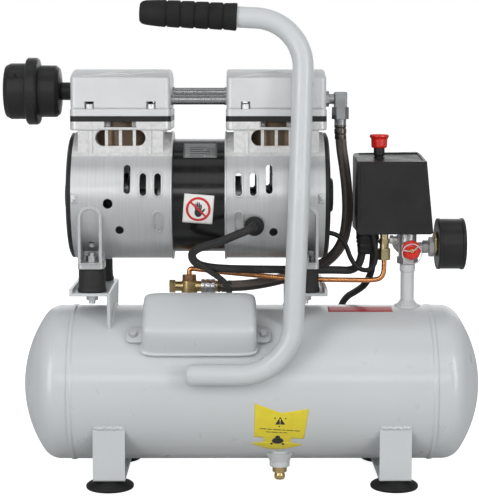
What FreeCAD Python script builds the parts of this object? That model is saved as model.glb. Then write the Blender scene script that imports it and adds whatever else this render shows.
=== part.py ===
import FreeCAD, Part
import math
import os

import Sketcher

# Two-cylinder oil-free air compressor on a horizontal tank, in millimetres.
# Frame: X along the tank, front of the machine towards -Y, Z up. Places are given from
# the floor midway between the four feet, and put() moves them all to the frame's origin.

DOC = FreeCAD.newDocument("compressor")
SHEET = DOC.addObject("Spreadsheet::Sheet", "Sizes")
NODES = []


# ---------------------------------------------------------------- sizes

class Size:
    """A length or angle that knows its value and the sheet formula behind it."""

    def __init__(self, value, text):
        self.value = float(value)
        self.text = text

    def __add__(self, other):
        return Size(self.value + float(other), f"({self.text} + {formula(other)})")

    def __radd__(self, other):
        return Size(float(other) + self.value, f"({formula(other)} + {self.text})")

    def __sub__(self, other):
        return Size(self.value - float(other), f"({self.text} - {formula(other)})")

    def __rsub__(self, other):
        return Size(float(other) - self.value, f"({formula(other)} - {self.text})")

    def __mul__(self, other):
        return Size(self.value * float(other), f"({self.text} * {formula(other)})")

    def __rmul__(self, other):
        return Size(float(other) * self.value, f"({formula(other)} * {self.text})")

    def __truediv__(self, other):
        return Size(self.value / float(other), f"({self.text} / {formula(other)})")

    def __neg__(self):
        return Size(-self.value, f"(0 - {self.text})")

    def __float__(self):
        return self.value


def formula(value):
    """Text of a size for setExpression."""
    return value.text if isinstance(value, Size) else f"({float(value):.6f})"


def sheet_size(alias, value):
    """Writes one driving dimension to the sheet and returns it as a Size."""
    row = sheet_size.row
    sheet_size.row += 1
    SHEET.set(f"A{row}", alias)
    SHEET.set(f"B{row}", str(value))
    SHEET.setAlias(f"B{row}", alias)
    return Size(value, f"Sizes.{alias}")


sheet_size.row = 1

# the frame's origin: floor level, at the middle of the bounding box
frame_x = sheet_size("frame_x", 8.42)
frame_y = sheet_size("frame_y", 6.75)

# tank and legs
tank_radius = sheet_size("tank_radius", 76.6)
tank_wall = sheet_size("tank_wall", 2.0)
tank_height = sheet_size("tank_height", 93.4)
tank_half = sheet_size("tank_half", 226.5)
seam_x = sheet_size("seam_x", 178.0)
crown_radius = sheet_size("crown_radius", 120.0)
knuckle_radius = sheet_size("knuckle_radius", 20.0)
leg_x = sheet_size("leg_x", 138.0)
leg_width = sheet_size("leg_width", 31.0)
leg_plate = sheet_size("leg_plate", 2.5)
leg_reach = sheet_size("leg_reach", 69.7)
leg_base = sheet_size("leg_base", 9.0)
leg_top = sheet_size("leg_top", 61.0)
foot_radius = sheet_size("foot_radius", 23.4)
foot_y = sheet_size("foot_y", 57.0)

# pump and motor
motor_x = sheet_size("motor_x", -51.8)
pump_height = sheet_size("pump_height", 280.9)
case_radius = sheet_size("case_radius", 62.5)
case_wall = sheet_size("case_wall", 3.2)
case_inner_x = sheet_size("case_inner_x", 25.2)
case_outer_x = sheet_size("case_outer_x", 121.7)
can_radius = sheet_size("can_radius", 56.0)
head_offset = sheet_size("head_offset", 75.0)
head_width = sheet_size("head_width", 97.5)
head_depth = sheet_size("head_depth", 92.0)
flange_bottom = sheet_size("flange_bottom", 346.2)
flange_top = sheet_size("flange_top", 354.7)
plate_top = sheet_size("plate_top", 360.0)
head_flange_top = sheet_size("head_flange_top", 366.9)
head_edge = sheet_size("head_edge", 397.0)
head_crown = sheet_size("head_crown", 405.6)
bore_radius = sheet_size("bore_radius", 31.5)
liner_wall = sheet_size("liner_wall", 3.0)
crank_throw = sheet_size("crank_throw", 6.0)
shaft_radius = sheet_size("shaft_radius", 6.0)
eccentric_radius = sheet_size("eccentric_radius", 12.6)
running_gap = sheet_size("running_gap", 0.05)
mount_offset = sheet_size("mount_offset", 103.4)
mount_y = sheet_size("mount_y", 43.0)
mount_bottom = sheet_size("mount_bottom", 190.0)
mount_top = sheet_size("mount_top", 213.5)
lug_top = sheet_size("lug_top", 220.2)
tray_thickness = sheet_size("tray_thickness", 3.0)

# air system
filter_height = sheet_size("filter_height", 383.7)
riser_x = sheet_size("riser_x", 155.6)
riser_radius = sheet_size("riser_radius", 6.75)
riser_top = sheet_size("riser_top", 212.4)
manifold_height = sheet_size("manifold_height", 229.0)
gauge_radius = sheet_size("gauge_radius", 25.0)
gauge_x = sheet_size("gauge_x", 184.5)
gauge_rise = sheet_size("gauge_rise", 3.0)
switch_floor = sheet_size("switch_floor", 244.3)
switch_left = sheet_size("switch_left", 102.9)
switch_right = sheet_size("switch_right", 177.3)
switch_top = sheet_size("switch_top", 322.5)
switch_depth = sheet_size("switch_depth", 62.0)
switch_wall = sheet_size("switch_wall", 2.0)
knob_x = sheet_size("knob_x", 126.5)
knob_travel = sheet_size("knob_travel", 5.0)
gland_x = sheet_size("gland_x", 110.2)
gland_pitch = sheet_size("gland_pitch", 11.2)
unloader_x = sheet_size("unloader_x", 131.4)
unloader_y = sheet_size("unloader_y", -9.2)
check_x = sheet_size("check_x", -62.5)
check_y = sheet_size("check_y", 8.0)
drain_x = sheet_size("drain_x", 27.2)
drain_y = sheet_size("drain_y", -40.0)

# handle, capacitor cover, cord
handle_radius = sheet_size("handle_radius", 10.1)
handle_wall = sheet_size("handle_wall", 1.5)
grip_radius = sheet_size("grip_radius", 13.2)
cover_tilt = sheet_size("cover_tilt", 40.0)
cover_reach = sheet_size("cover_reach", 102.0)
cover_length = sheet_size("cover_length", 110.0)
cover_width = sheet_size("cover_width", 57.0)
cover_depth = sheet_size("cover_depth", 27.0)
cover_sheet = sheet_size("cover_sheet", 1.2)
cord_radius = sheet_size("cord_radius", 3.5)
hose_radius = sheet_size("hose_radius", 5.6)
copper_radius = sheet_size("copper_radius", 2.5)
DOC.recompute()


# ---------------------------------------------------------------- builders

TURNS = {
    "up": FreeCAD.Rotation(),
    "down": FreeCAD.Rotation(FreeCAD.Vector(1, 0, 0), 180),
    "right": FreeCAD.Rotation(FreeCAD.Vector(0, 1, 0), 90),
    "left": FreeCAD.Rotation(FreeCAD.Vector(0, 1, 0), -90),
    "back": FreeCAD.Rotation(FreeCAD.Vector(1, 0, 0), -90),
    "front": FreeCAD.Rotation(FreeCAD.Vector(1, 0, 0), 90),
    "side": FreeCAD.Rotation(FreeCAD.Vector(1, 1, 1), 120),
}


def bind(obj, **values):
    """Binds properties of an object to sheet formulas."""
    for field, value in values.items():
        obj.setExpression(field, formula(value))
    return obj


def put(obj, at, facing="up"):
    """Turns an object to a named direction and binds its place to the sheet."""
    turn = TURNS[facing] if isinstance(facing, str) else facing
    moved = (frame_x + at[0], frame_y + at[1], at[2])
    obj.Placement = FreeCAD.Placement(FreeCAD.Vector(*[float(c) for c in moved]), turn)
    for axis, value in zip("xyz", moved):
        obj.setExpression(f"Placement.Base.{axis}", formula(value))
    return obj


def unique(name):
    unique.count += 1
    return f"{name}_{unique.count}"


unique.count = 0


def cylinder(radius, length, at, facing="up"):
    obj = DOC.addObject("Part::Cylinder", unique("cylinder"))
    return put(bind(obj, Radius=radius, Height=length), at, facing)


def cone(radius_low, radius_high, length, at, facing="up"):
    obj = DOC.addObject("Part::Cone", unique("cone"))
    return put(bind(obj, Radius1=radius_low, Radius2=radius_high, Height=length), at, facing)


def box(size, at, facing="up"):
    """A box with its lowest corner at the given place."""
    obj = DOC.addObject("Part::Box", unique("box"))
    return put(bind(obj, Length=size[0], Width=size[1], Height=size[2]), at, facing)


def block(size, centre):
    """A box that is centred in X and Y and stands on the given height."""
    return box(size, (centre[0] - size[0] / 2, centre[1] - size[1] / 2, centre[2]))


def hexagon(across, length, at, facing="up"):
    """A hexagonal prism, with its width over the corners."""
    obj = DOC.addObject("Part::Prism", unique("hexagon"))
    obj.Polygon = 6
    return put(bind(obj, Circumradius=across / 2, Height=length), at, facing)


def torus(ring_radius, wire_radius, at, facing="up"):
    obj = DOC.addObject("Part::Torus", unique("torus"))
    return put(bind(obj, Radius1=ring_radius, Radius2=wire_radius), at, facing)


def cut(base, *tools):
    for tool in tools:
        step = DOC.addObject("Part::Cut", unique("cut"))
        step.Base = base
        step.Tool = tool
        base = step
    return base


def fuse(*parts):
    whole = DOC.addObject("Part::MultiFuse", unique("fuse"))
    whole.Shapes = list(parts)
    whole.Refine = True
    return whole


def common(first, second):
    overlap = DOC.addObject("Part::Common", unique("common"))
    overlap.Base = first
    overlap.Tool = second
    return overlap


def group(*parts):
    whole = DOC.addObject("Part::Compound", unique("group"))
    whole.Links = list(parts)
    return whole


def tube(outer, inner, length, at, facing="up"):
    return cut(cylinder(outer, length, at, facing), cylinder(inner, length, at, facing))


def sketch_outline(body, plane_role, corners):
    """Closes a sketch round corners, each fixed by the sheet.

    A corner is (x, y), or (x, y, radius) when an arc that bulges away from the
    sketch's left-hand side leads from it to the next corner.
    """
    sketch = body.newObject("Sketcher::SketchObject", unique("sketch"))
    plane = [item for item in body.Origin.OriginFeatures if item.Role == plane_role][0]
    sketch.AttachmentSupport = [(plane, "")]
    sketch.MapMode = "FlatFace"
    places = [FreeCAD.Vector(float(c[0]), float(c[1]), 0) for c in corners]
    count = len(places)
    starts = []
    for index, corner in enumerate(corners):
        start = places[index]
        end = places[(index + 1) % count]
        if len(corner) == 3:
            radius = float(corner[2])
            chord = end - start
            side = FreeCAD.Vector(chord.y, -chord.x, 0).normalize()
            drop = radius - math.sqrt(radius ** 2 - (chord.Length / 2) ** 2)
            arc = Part.Arc(start, (start + end) * 0.5 + side * drop, end)
            sketch.addGeometry(arc)
            first = sketch.Geometry[index]
            forward = (first.StartPoint - start).Length < 1e-6
            starts.append((1, 2) if forward else (2, 1))
        else:
            sketch.addGeometry(Part.LineSegment(start, end))
            starts.append((1, 2))
    for index in range(count):
        following = (index + 1) % count
        sketch.addConstraint(Sketcher.Constraint(
            "Coincident", index, starts[index][1], following, starts[following][0]))
    for index, corner in enumerate(corners):
        for kind, value in (("DistanceX", corner[0]), ("DistanceY", corner[1])):
            number = sketch.addConstraint(Sketcher.Constraint(
                kind, -1, 1, index, starts[index][0], float(value)))
            sketch.setExpression(f"Constraints[{number}]", formula(value))
        if len(corner) == 3:
            number = sketch.addConstraint(Sketcher.Constraint("Radius", index, float(corner[2])))
            sketch.setExpression(f"Constraints[{number}]", formula(corner[2]))
    return sketch


def new_body():
    return DOC.addObject("PartDesign::Body", unique("body"))


def turned(profile, at, facing="up"):
    """A body turned about its own Z axis from (radius, height) corners."""
    body = new_body()
    sketch = sketch_outline(body, "XZ_Plane", profile)
    turn = body.newObject("PartDesign::Revolution", unique("turn"))
    turn.Profile = sketch
    turn.ReferenceAxis = (sketch, ["V_Axis"])
    turn.Angle = 360
    return put(body, at, facing)


def padded(outline, length, at, facing="up"):
    """A body padded along its own Z axis from (x, y) corners."""
    body = new_body()
    sketch = sketch_outline(body, "XY_Plane", outline)
    pad = body.newObject("PartDesign::Pad", unique("pad"))
    pad.Profile = sketch
    bind(pad, Length=length)
    return put(body, at, facing)


def plate(width, depth, thickness, centre, facing="up"):
    """A rectangular body centred on its own axis."""
    half_w = width / 2
    half_d = depth / 2
    outline = [(-half_w, -half_d), (half_w, -half_d), (half_w, half_d), (-half_w, half_d)]
    return padded(outline, thickness, centre, facing)


def soften(body, radius, wanted):
    """Rounds those edges of a body that the test picks, seen in its own frame."""
    DOC.recompute()
    tip = body.Tip
    names = []
    for index, edge in enumerate(tip.Shape.Edges):
        if wanted(edge):
            names.append(f"Edge{index + 1}")
    fillet = body.newObject("PartDesign::Fillet", unique("fillet"))
    fillet.Base = (tip, names)
    bind(fillet, Radius=radius)
    body.Tip = fillet
    return body


def upright(edge):
    """True for an edge that runs along the body's own Z axis."""
    box_ = edge.BoundBox
    return box_.XLength < 1e-4 and box_.YLength < 1e-4


def flat_at(height):
    """Test for edges that lie at one height of the body's own frame."""
    def test(edge):
        box_ = edge.BoundBox
        return abs(box_.ZMin - float(height)) < 1e-4 and abs(box_.ZMax - float(height)) < 1e-4
    return test


def round_edges(source, radius, wanted):
    """A Part fillet on the edges that the test picks, in the document's frame."""
    DOC.recompute()
    picked = []
    for index, edge in enumerate(source.Shape.Edges):
        if wanted(edge):
            picked.append((index + 1, float(radius), float(radius)))
    fillet = DOC.addObject("Part::Fillet", unique("round"))
    fillet.Base = source
    fillet.Edges = picked
    return fillet


def slot_tool(width, height, depth, at):
    """An upright slot with round ends, driven along +Y from its front face."""
    straight = (height - width) / 2
    middle = box((width, depth, height - width), (at[0] - width / 2, at[1], at[2] - straight))
    ends = []
    for sign in (-1, 1):
        ends.append(cylinder(width / 2, depth, (at[0], at[1], at[2] + sign * straight), "back"))
    return fuse(middle, *ends)


def bar_slot_tool(width, height, depth, at):
    """A lying slot with round ends, driven along +Y from its front face."""
    straight = (width - height) / 2
    middle = box((width - height, depth, height), (at[0] - straight, at[1], at[2] - height / 2))
    ends = []
    for sign in (-1, 1):
        ends.append(cylinder(height / 2, depth, (at[0] + sign * straight, at[1], at[2]), "back"))
    return fuse(middle, *ends)


def node(name, source):
    """Names a finished sub-part: its Label is the name of its file."""
    assert len(name) < 60
    source.Label = name
    NODES.append(source)
    return source


def shape_node(name, shape):
    """A sub-part made straight from Part's functions."""
    feature = DOC.addObject("Part::Feature", name)
    feature.Shape = shape
    feature.Placement = FreeCAD.Placement()
    return node(name, feature)


def vector(point):
    """A place of a route, moved to the frame's origin."""
    return FreeCAD.Vector(float(point[0]) + float(frame_x), float(point[1]) + float(frame_y),
                          float(point[2]))


def bend_radii(points):
    """Largest tangent arc at each inner point: 0.45 of its shorter run over tan(half turn)."""
    places = [vector(p) for p in points]
    radii = []
    for index in range(1, len(places) - 1):
        before = places[index] - places[index - 1]
        after = places[index + 1] - places[index]
        turn = before.getAngle(after)
        radii.append(0.45 * min(before.Length, after.Length) / math.tan(turn / 2))
    return radii


def bent_wire(points, bends):
    """Straight runs joined by tangent arcs of the given radii."""
    places = [vector(p) for p in points]
    edges = []
    last = places[0]
    for index, bend in enumerate(bends, start=1):
        into = (places[index] - places[index - 1]).normalize()
        out = (places[index + 1] - places[index]).normalize()
        turn = into.getAngle(out)
        setback = bend * math.tan(turn / 2)
        start = places[index] - into * setback
        end = places[index] + out * setback
        inward = (out - into).normalize()
        middle = places[index] + inward * (bend / math.cos(turn / 2) - bend)
        edges.append(Part.LineSegment(last, start).toShape())
        edges.append(Part.Arc(start, middle, end).toShape())
        last = end
    edges.append(Part.LineSegment(last, places[-1]).toShape())
    return Part.Wire(edges)


def sweep(wire, radius, points):
    """A round solid along a wire that starts along the first run of the points."""
    start = vector(points[0])
    heading = vector(points[1]) - start
    section = Part.Wire([Part.makeCircle(float(radius), start, heading)])
    return wire.makePipeShell([section], True, True)


def pipe(points, radius, label):
    """A flexible tube: the widest bends its runs allow; prints them and checks the volume."""
    radii = bend_radii(points)
    wire = bent_wire(points, radii)
    solid = sweep(wire, radius, points)
    ratio = solid.Volume / (math.pi * float(radius) ** 2 * wire.Length)
    print(f"{label}: length {wire.Length:.0f} mm, volume ratio {ratio:.4f}, bend radii "
          + " ".join(f"{r:.0f}" for r in radii))
    assert abs(ratio - 1) < 0.01
    return solid


# ---------------------------------------------------------------- tank

def tank_cylinder(radius):
    """A full-length cylinder on the tank's axis, used as a tool."""
    return cylinder(radius, tank_half * 2, (-tank_half, 0, tank_height), "right")


# rolled shell, with a raised weld bead at each seam and holes under its fittings
bead = 1.0
bead_width = 3.0
shell_outer = turned([
    (0, 0), (tank_radius + bead, 0), (tank_radius + bead, bead_width),
    (tank_radius, bead_width * 1.6), (tank_radius, seam_x * 2 - bead_width * 1.6),
    (tank_radius + bead, seam_x * 2 - bead_width), (tank_radius + bead, seam_x * 2),
    (0, seam_x * 2)], (-seam_x, 0, tank_height), "right")
soften(shell_outer, 0.6, lambda edge: abs(edge.BoundBox.ZMin - bead_width) < 1e-4
       or abs(edge.BoundBox.ZMin - (2 * float(seam_x) - bead_width)) < 1e-4)
boss_bottom = 17.4
boss_radius = 9.9
drain_boss = fuse(
    cylinder(boss_radius, 16, (drain_x, drain_y, boss_bottom)),
    cone(boss_radius, 14, 9, (drain_x, drain_y, boss_bottom + 5)))
drain_bore = 4.0
node("tank_shell", cut(
    fuse(shell_outer, drain_boss),
    cylinder(tank_radius - tank_wall, seam_x * 2, (-seam_x, 0, tank_height), "right"),
    cylinder(drain_bore, 30, (drain_x, drain_y, boss_bottom - 1)),
    cylinder(4.5, 20, (riser_x, 0, tank_height + tank_radius - 12)),
    cylinder(5.0, 20, (check_x, check_y, tank_height + tank_radius - 12))))


def domed_head(radius, apex, crown, knuckle):
    """Solid torispherical end that stands on the seam plane."""
    rise = crown - Size((float(crown) ** 2 - float(radius) ** 2) ** 0.5,
                        f"sqrt({formula(crown)}^2 - {formula(radius)}^2)")
    edge_height = apex - rise
    body = turned([(0, 0), (radius, 0), (radius, edge_height, crown), (0, apex)], (0, 0, 0))
    return soften(body, knuckle, flat_at(edge_height))


for side, facing in (("left", "left"), ("right", "right")):
    sign = -1 if side == "left" else 1
    apex = tank_half - seam_x
    skin = domed_head(tank_radius, apex, crown_radius, knuckle_radius)
    hollow = domed_head(tank_radius - tank_wall, apex - tank_wall,
                        crown_radius - tank_wall, knuckle_radius - tank_wall)
    for piece in (skin, hollow):
        put(piece, (seam_x * sign, 0, tank_height), facing)
    node(f"tank_head_{side}", cut(skin, hollow))

# legs: a strap bent into a U, its two ends cut to the tank and welded on
for side in ("left", "right"):
    sign = -1 if side == "left" else 1
    foot_hole = 2.6
    strap = cut(
        block((leg_width, leg_reach * 2, leg_top - leg_base), (leg_x * sign, 0, leg_base)),
        block((leg_width + 2, (leg_reach - leg_plate) * 2, leg_top),
              (leg_x * sign, 0, leg_base + leg_plate)))
    strap = round_edges(strap, 2.0, lambda edge: edge.BoundBox.XLength > 20
                        and abs(edge.BoundBox.ZMin - float(leg_base)) < 0.01)
    holes = [cylinder(foot_hole, 20, (leg_x * sign, foot_y * end, 0)) for end in (-1, 1)]
    node(f"leg_{side}", cut(strap, tank_cylinder(tank_radius), *holes))

# rubber feet and the pan-head screws that hold them and the capacitor cover
feet = []
screws = []
for sign_x in (-1, 1):
    for sign_y in (-1, 1):
        spot = (leg_x * sign_x, foot_y * sign_y)
        foot = turned([(2.6, 3.2), (20.0, 0), (foot_radius, 2.4), (foot_radius, 4.4, 30.0),
                       (13.0, leg_base), (2.6, leg_base)][1:] + [(2.6, 0)], (*spot, 0))
        feet.append(soften(foot, 0.8, lambda edge: edge.BoundBox.XLength > 40))
        screw_top = leg_base + leg_plate
        screws.append(fuse(cylinder(2.5, screw_top - 2, (*spot, 2)),
                           cone(4.8, 3.4, 3.0, (*spot, screw_top))))
node("rubber_feet", group(*feet))

# ---------------------------------------------------------------- drain

valve_bottom = 11.2
drain_body = fuse(
    hexagon(14.2, boss_bottom - valve_bottom, (drain_x, drain_y, valve_bottom)),
    cylinder(drain_bore, 9, (drain_x, drain_y, boss_bottom)))
node("drain_valve", cut(drain_body, cylinder(2.0, 30, (drain_x, drain_y, valve_bottom - 1))))
drain_screw = turned([(0, 0), (4.2, 0), (5.3, 1.6), (5.3, 4.4), (4.4, 6.9), (1.95, 6.9),
                      (1.95, 12.0), (0, 13.5)], (drain_x, drain_y, valve_bottom - 7.2))
node("drain_screw", drain_screw)

# ---------------------------------------------------------------- pump casings

HEAD_X = {}
for side in ("left", "right"):
    sign = -1 if side == "left" else 1
    HEAD_X[side] = motor_x + head_offset * sign

bearing_radius = 13.0
bearing_width = 8.0
foot_width = 23.0
foot_depth = 35.0
foot_face = 63.2
foot_crown = 275.0
liner_radius = bore_radius + liner_wall


def rim_ring(inner_x, outer_x, height):
    """A ring just outside the crankcase's skin, from which raised rims are cut."""
    return tube(case_radius + height, case_radius - 0.5, outer_x - inner_x,
                (inner_x, 0, pump_height), "right")


def crankcase(side):
    """Cylindrical casting with its cylinder block, top flange, slots and feet."""
    sign = -1 if side == "left" else 1
    low = motor_x + (case_inner_x if sign > 0 else -case_outer_x)
    length = case_outer_x - case_inner_x
    head_x = HEAD_X[side]
    flange = soften(plate(head_width, head_depth, flange_top - flange_bottom,
                          (head_x, 0, flange_bottom)), 7.0, upright)
    soften(flange, 2.0, flat_at(0))
    solids = [
        cylinder(case_radius, length, (low, 0, pump_height), "right"),
        block((82.0, head_depth - 4, flange_bottom - 300), (head_x, 0, 300.0)),
        flange,
    ]
    mount_x = motor_x + mount_offset * sign
    for end in (-1, 1):
        centre_y = mount_y * end
        foot_start = -foot_face if end < 0 else foot_face - foot_depth
        foot = slot_tool(foot_width, 80.0, foot_depth, (mount_x, foot_start, foot_crown - 40))
        solids.append(common(foot, block((30.0, 150.0, 70.0), (mount_x, 0, lug_top - 1))))
        base = soften(plate(25.0, 29.0, lug_top - mount_top, (mount_x, centre_y, mount_top)),
                      4.0, upright)
        solids.append(base)
    # two raised ribs run down each face of the cylinder block
    for rib in (-28.4, 28.4):
        solids.append(block((3.0, head_depth - 1, flange_bottom - 318), (head_x + rib, 0, 318.0)))
    casting = fuse(*solids)

    # raised rims round the two inner slots and the blind slot
    slots = [(67.8, 27.0, 300.0), (52.6, 21.2, 295.2), (38.6, 21.2, 295.2)]
    ring = rim_ring(low, low + length, 1.0)
    rims = []
    for offset, height, middle in slots[1:]:
        place = (motor_x + offset * sign, -70.0, middle)
        rims.append(common(ring, slot_tool(9.6, height + 3.3, 60.0, place)))
    blind = (motor_x + 38.6 * sign, -70.0, 259.2)
    rims.append(common(ring, slot_tool(10.0, 22.0, 60.0, blind)))
    casting = fuse(casting, *rims)

    # hollow, bearing seat, shaft hole, cylinder bore
    hub_length = 16.0
    web = 8.0
    inner = case_radius - case_wall
    cavity_low = low if sign < 0 else low + web
    tools = [
        cut(cylinder(inner, length - web, (cavity_low, 0, pump_height), "right"),
            cylinder(19.0, hub_length, (low + (length - hub_length if sign < 0 else 0), 0,
                                        pump_height), "right")),
        cylinder(shaft_radius + 2, length + 2, (low - 1, 0, pump_height), "right"),
        cylinder(liner_radius, 60.0, (head_x, 0, flange_top - 50)),
    ]
    seat_low = low + (length - hub_length if sign < 0 else hub_length - bearing_width)
    tools.append(cylinder(bearing_radius, bearing_width, (seat_low, 0, pump_height), "right"))

    # openings of the skin
    wall_depth = 32.0
    for offset, height, middle in slots:
        slot_x = motor_x + offset * sign
        tools.append(slot_tool(6.3, height, wall_depth, (slot_x, -72.0, middle)))
        tools.append(slot_tool(6.3, height, wall_depth, (slot_x, 72.0 - wall_depth, middle)))
    tools.append(common(tube(case_radius + 3, case_radius - 1.4, length, (low, 0, pump_height), "right"),
                        slot_tool(7.0, 19.0, 60.0, blind)))
    if side == "left":
        tools.append(cylinder(4.7, 40.0, (motor_x - 86.2, -75.0, 276.9), "back"))
        tools.append(cylinder(4.0, 45.0, (motor_x - 75.5, -75.0, 251.0), "back"))
    else:
        tools.append(cylinder(8.1, 40.0, (motor_x + 53.9, -75.0, 255.5), "back"))
        tools.append(cylinder(4.0, 45.0, (motor_x + 72.2, -75.0, 249.0), "back"))
    # window over the cylinder liner, front and back, with three upright bars
    window_z = 339.0
    window = bar_slot_tool(48.5, 15.4, head_depth + 4, (head_x, -head_depth / 2 - 2, window_z))
    tools.append(window)
    # recess under the black plate, at the middle of the front edge
    tools.append(block((30.5, 26.0, 5.4), (head_x, -head_depth / 2, flange_top - 5.4)))
    # each foot is a pocket with an arched top, where the mount nut sits between two ribs
    for end in (-1, 1):
        pocket_start = -75.0 if end < 0 else mount_y - 9
        pocket = common(slot_tool(foot_width - 5.4, 80.0, 75.0 - mount_y + 9,
                                  (mount_x, pocket_start, foot_crown - 3.2 - 40)),
                        block((30.0, 160.0, 70.0), (mount_x, 0, lug_top)))
        tools.append(cut(pocket, cylinder(case_radius - 0.2, 60.0, (mount_x - 30, 0, pump_height),
                                          "right")))
        tools.append(cylinder(3.2, 30, (mount_x, mount_y * end, mount_top - 5)))
    casting = cut(casting, *tools)
    bars = []
    for step in (-1, 0, 1):
        for end in (-1, 1):
            bars.append(block((3.0, 3.0, 15.8), (head_x + 13.4 * step,
                                                  (head_depth / 2 - 4.2) * end, window_z - 7.9)))
    return fuse(casting, *bars)


for side in ("left", "right"):
    node(f"crankcase_{side}", crankcase(side))

can_half = case_inner_x - 0.02
node("motor_can", tube(can_radius, can_radius - 1.6, can_half * 2,
                       (motor_x - can_half, 0, pump_height), "right"))

stator_half = 17.0
stator_parts = [tube(can_radius - 1.7, 27.2, stator_half * 2,
                     (motor_x - stator_half, 0, pump_height), "right")]
for low_x in (motor_x - stator_half - 7, motor_x + stator_half):
    stator_parts.append(tube(46.0, 31.0, 7.0, (low_x, 0, pump_height), "right"))
node("stator", group(*stator_parts))

# ---------------------------------------------------------------- moving pump parts

fan_width = 11.0
fan_radius = 44.0
fan_offset = 101.0
shaft_half = fan_offset + fan_width / 2 + 2
rotor_half = 18.0
shaft_solids = [
    cylinder(shaft_radius, shaft_half * 2, (motor_x - shaft_half, 0, pump_height), "right"),
    cylinder(26.6, rotor_half * 2, (motor_x - rotor_half, 0, pump_height), "right"),
]
eccentric_width = 14.0
THROW = {"left": crank_throw, "right": -crank_throw}
for side in ("left", "right"):
    low_x = HEAD_X[side] - eccentric_width / 2
    shaft_solids.append(cylinder(eccentric_radius, eccentric_width,
                                 (low_x, 0, pump_height + THROW[side]), "right"))
node("rotor_shaft", fuse(*shaft_solids))

bearings = []
for sign in (-1, 1):
    low_x = motor_x + (case_inner_x + 8) * sign - (bearing_width if sign < 0 else 0)
    bearings.append(tube(bearing_radius, shaft_radius + running_gap, bearing_width,
                         (low_x, 0, pump_height), "right"))
node("bearings", group(*bearings))


def cooling_fan(centre_x):
    """Radial fan: hub, back disc and straight blades."""
    low_x = centre_x - fan_width / 2
    parts = [cylinder(14.0, fan_width, (low_x, 0, pump_height), "right"),
             cylinder(fan_radius - 0.5, 2.0, (low_x, 0, pump_height), "right")]
    blades = 10
    for index in range(blades):
        turn = FreeCAD.Rotation(FreeCAD.Vector(1, 0, 0), 360.0 * index / blades)
        parts.append(box((fan_width, 2.0, fan_radius - 11), (low_x, 0, pump_height), turn))
    for index in range(blades):
        angle = 2 * math.pi * index / blades
        away = 11.0
        put(parts[2 + index], (low_x, -away * math.sin(angle), pump_height + away * math.cos(angle)),
            FreeCAD.Rotation(FreeCAD.Vector(1, 0, 0), 360.0 * index / blades))
    return cut(fuse(*parts), cylinder(shaft_radius, fan_width + 2, (low_x - 1, 0, pump_height), "right"))


node("cooling_fans", group(*[cooling_fan(motor_x + fan_offset * sign) for sign in (-1, 1)]))

eye_radius = 17.0
piston_radius = 25.0
piston_height = 8.0
for side in ("left", "right"):
    pin_height = pump_height + THROW[side]
    crown_height = flange_top - crank_throw - 1.2 + THROW[side]
    head_x = HEAD_X[side]
    rod_width = 11.0
    rod = fuse(
        cylinder(eye_radius, rod_width, (head_x - rod_width / 2, 0, pin_height), "right"),
        block((9.0, 12.0, crown_height - pin_height - 12), (head_x, 0, pin_height + 8)),
        cylinder(piston_radius, piston_height, (head_x, 0, crown_height - piston_height)))
    node(f"piston_{side}", cut(rod, cylinder(eccentric_radius + running_gap, 30.0,
                                             (head_x - 15, 0, pin_height), "right")))

liners = []
for side in ("left", "right"):
    liners.append(tube(liner_radius, bore_radius, flange_top - 326, (HEAD_X[side], 0, 326.0)))
node("cylinder_liners", group(*liners))

# ---------------------------------------------------------------- heads

BOLT_SPOTS = [(-29.6, -41.5), (29.6, -41.5), (-29.6, 41.5), (29.6, 41.5)]
bolt_radius = 2.5
valve_plates = []
for side in ("left", "right"):
    head_x = HEAD_X[side]
    sheet = soften(plate(head_width, head_depth, plate_top - flange_top,
                         (head_x, 0, flange_top)), 7.0, upright)
    holes = [cylinder(4.0, 20, (head_x, y, flange_top - 5)) for y in (-16.0, 16.0)]
    for spot_x, spot_y in BOLT_SPOTS:
        holes.append(cylinder(bolt_radius, 20, (head_x + spot_x, spot_y, flange_top - 5)))
    valve_plates.append(cut(sheet, *holes))
node("valve_plates", group(*valve_plates))

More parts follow.
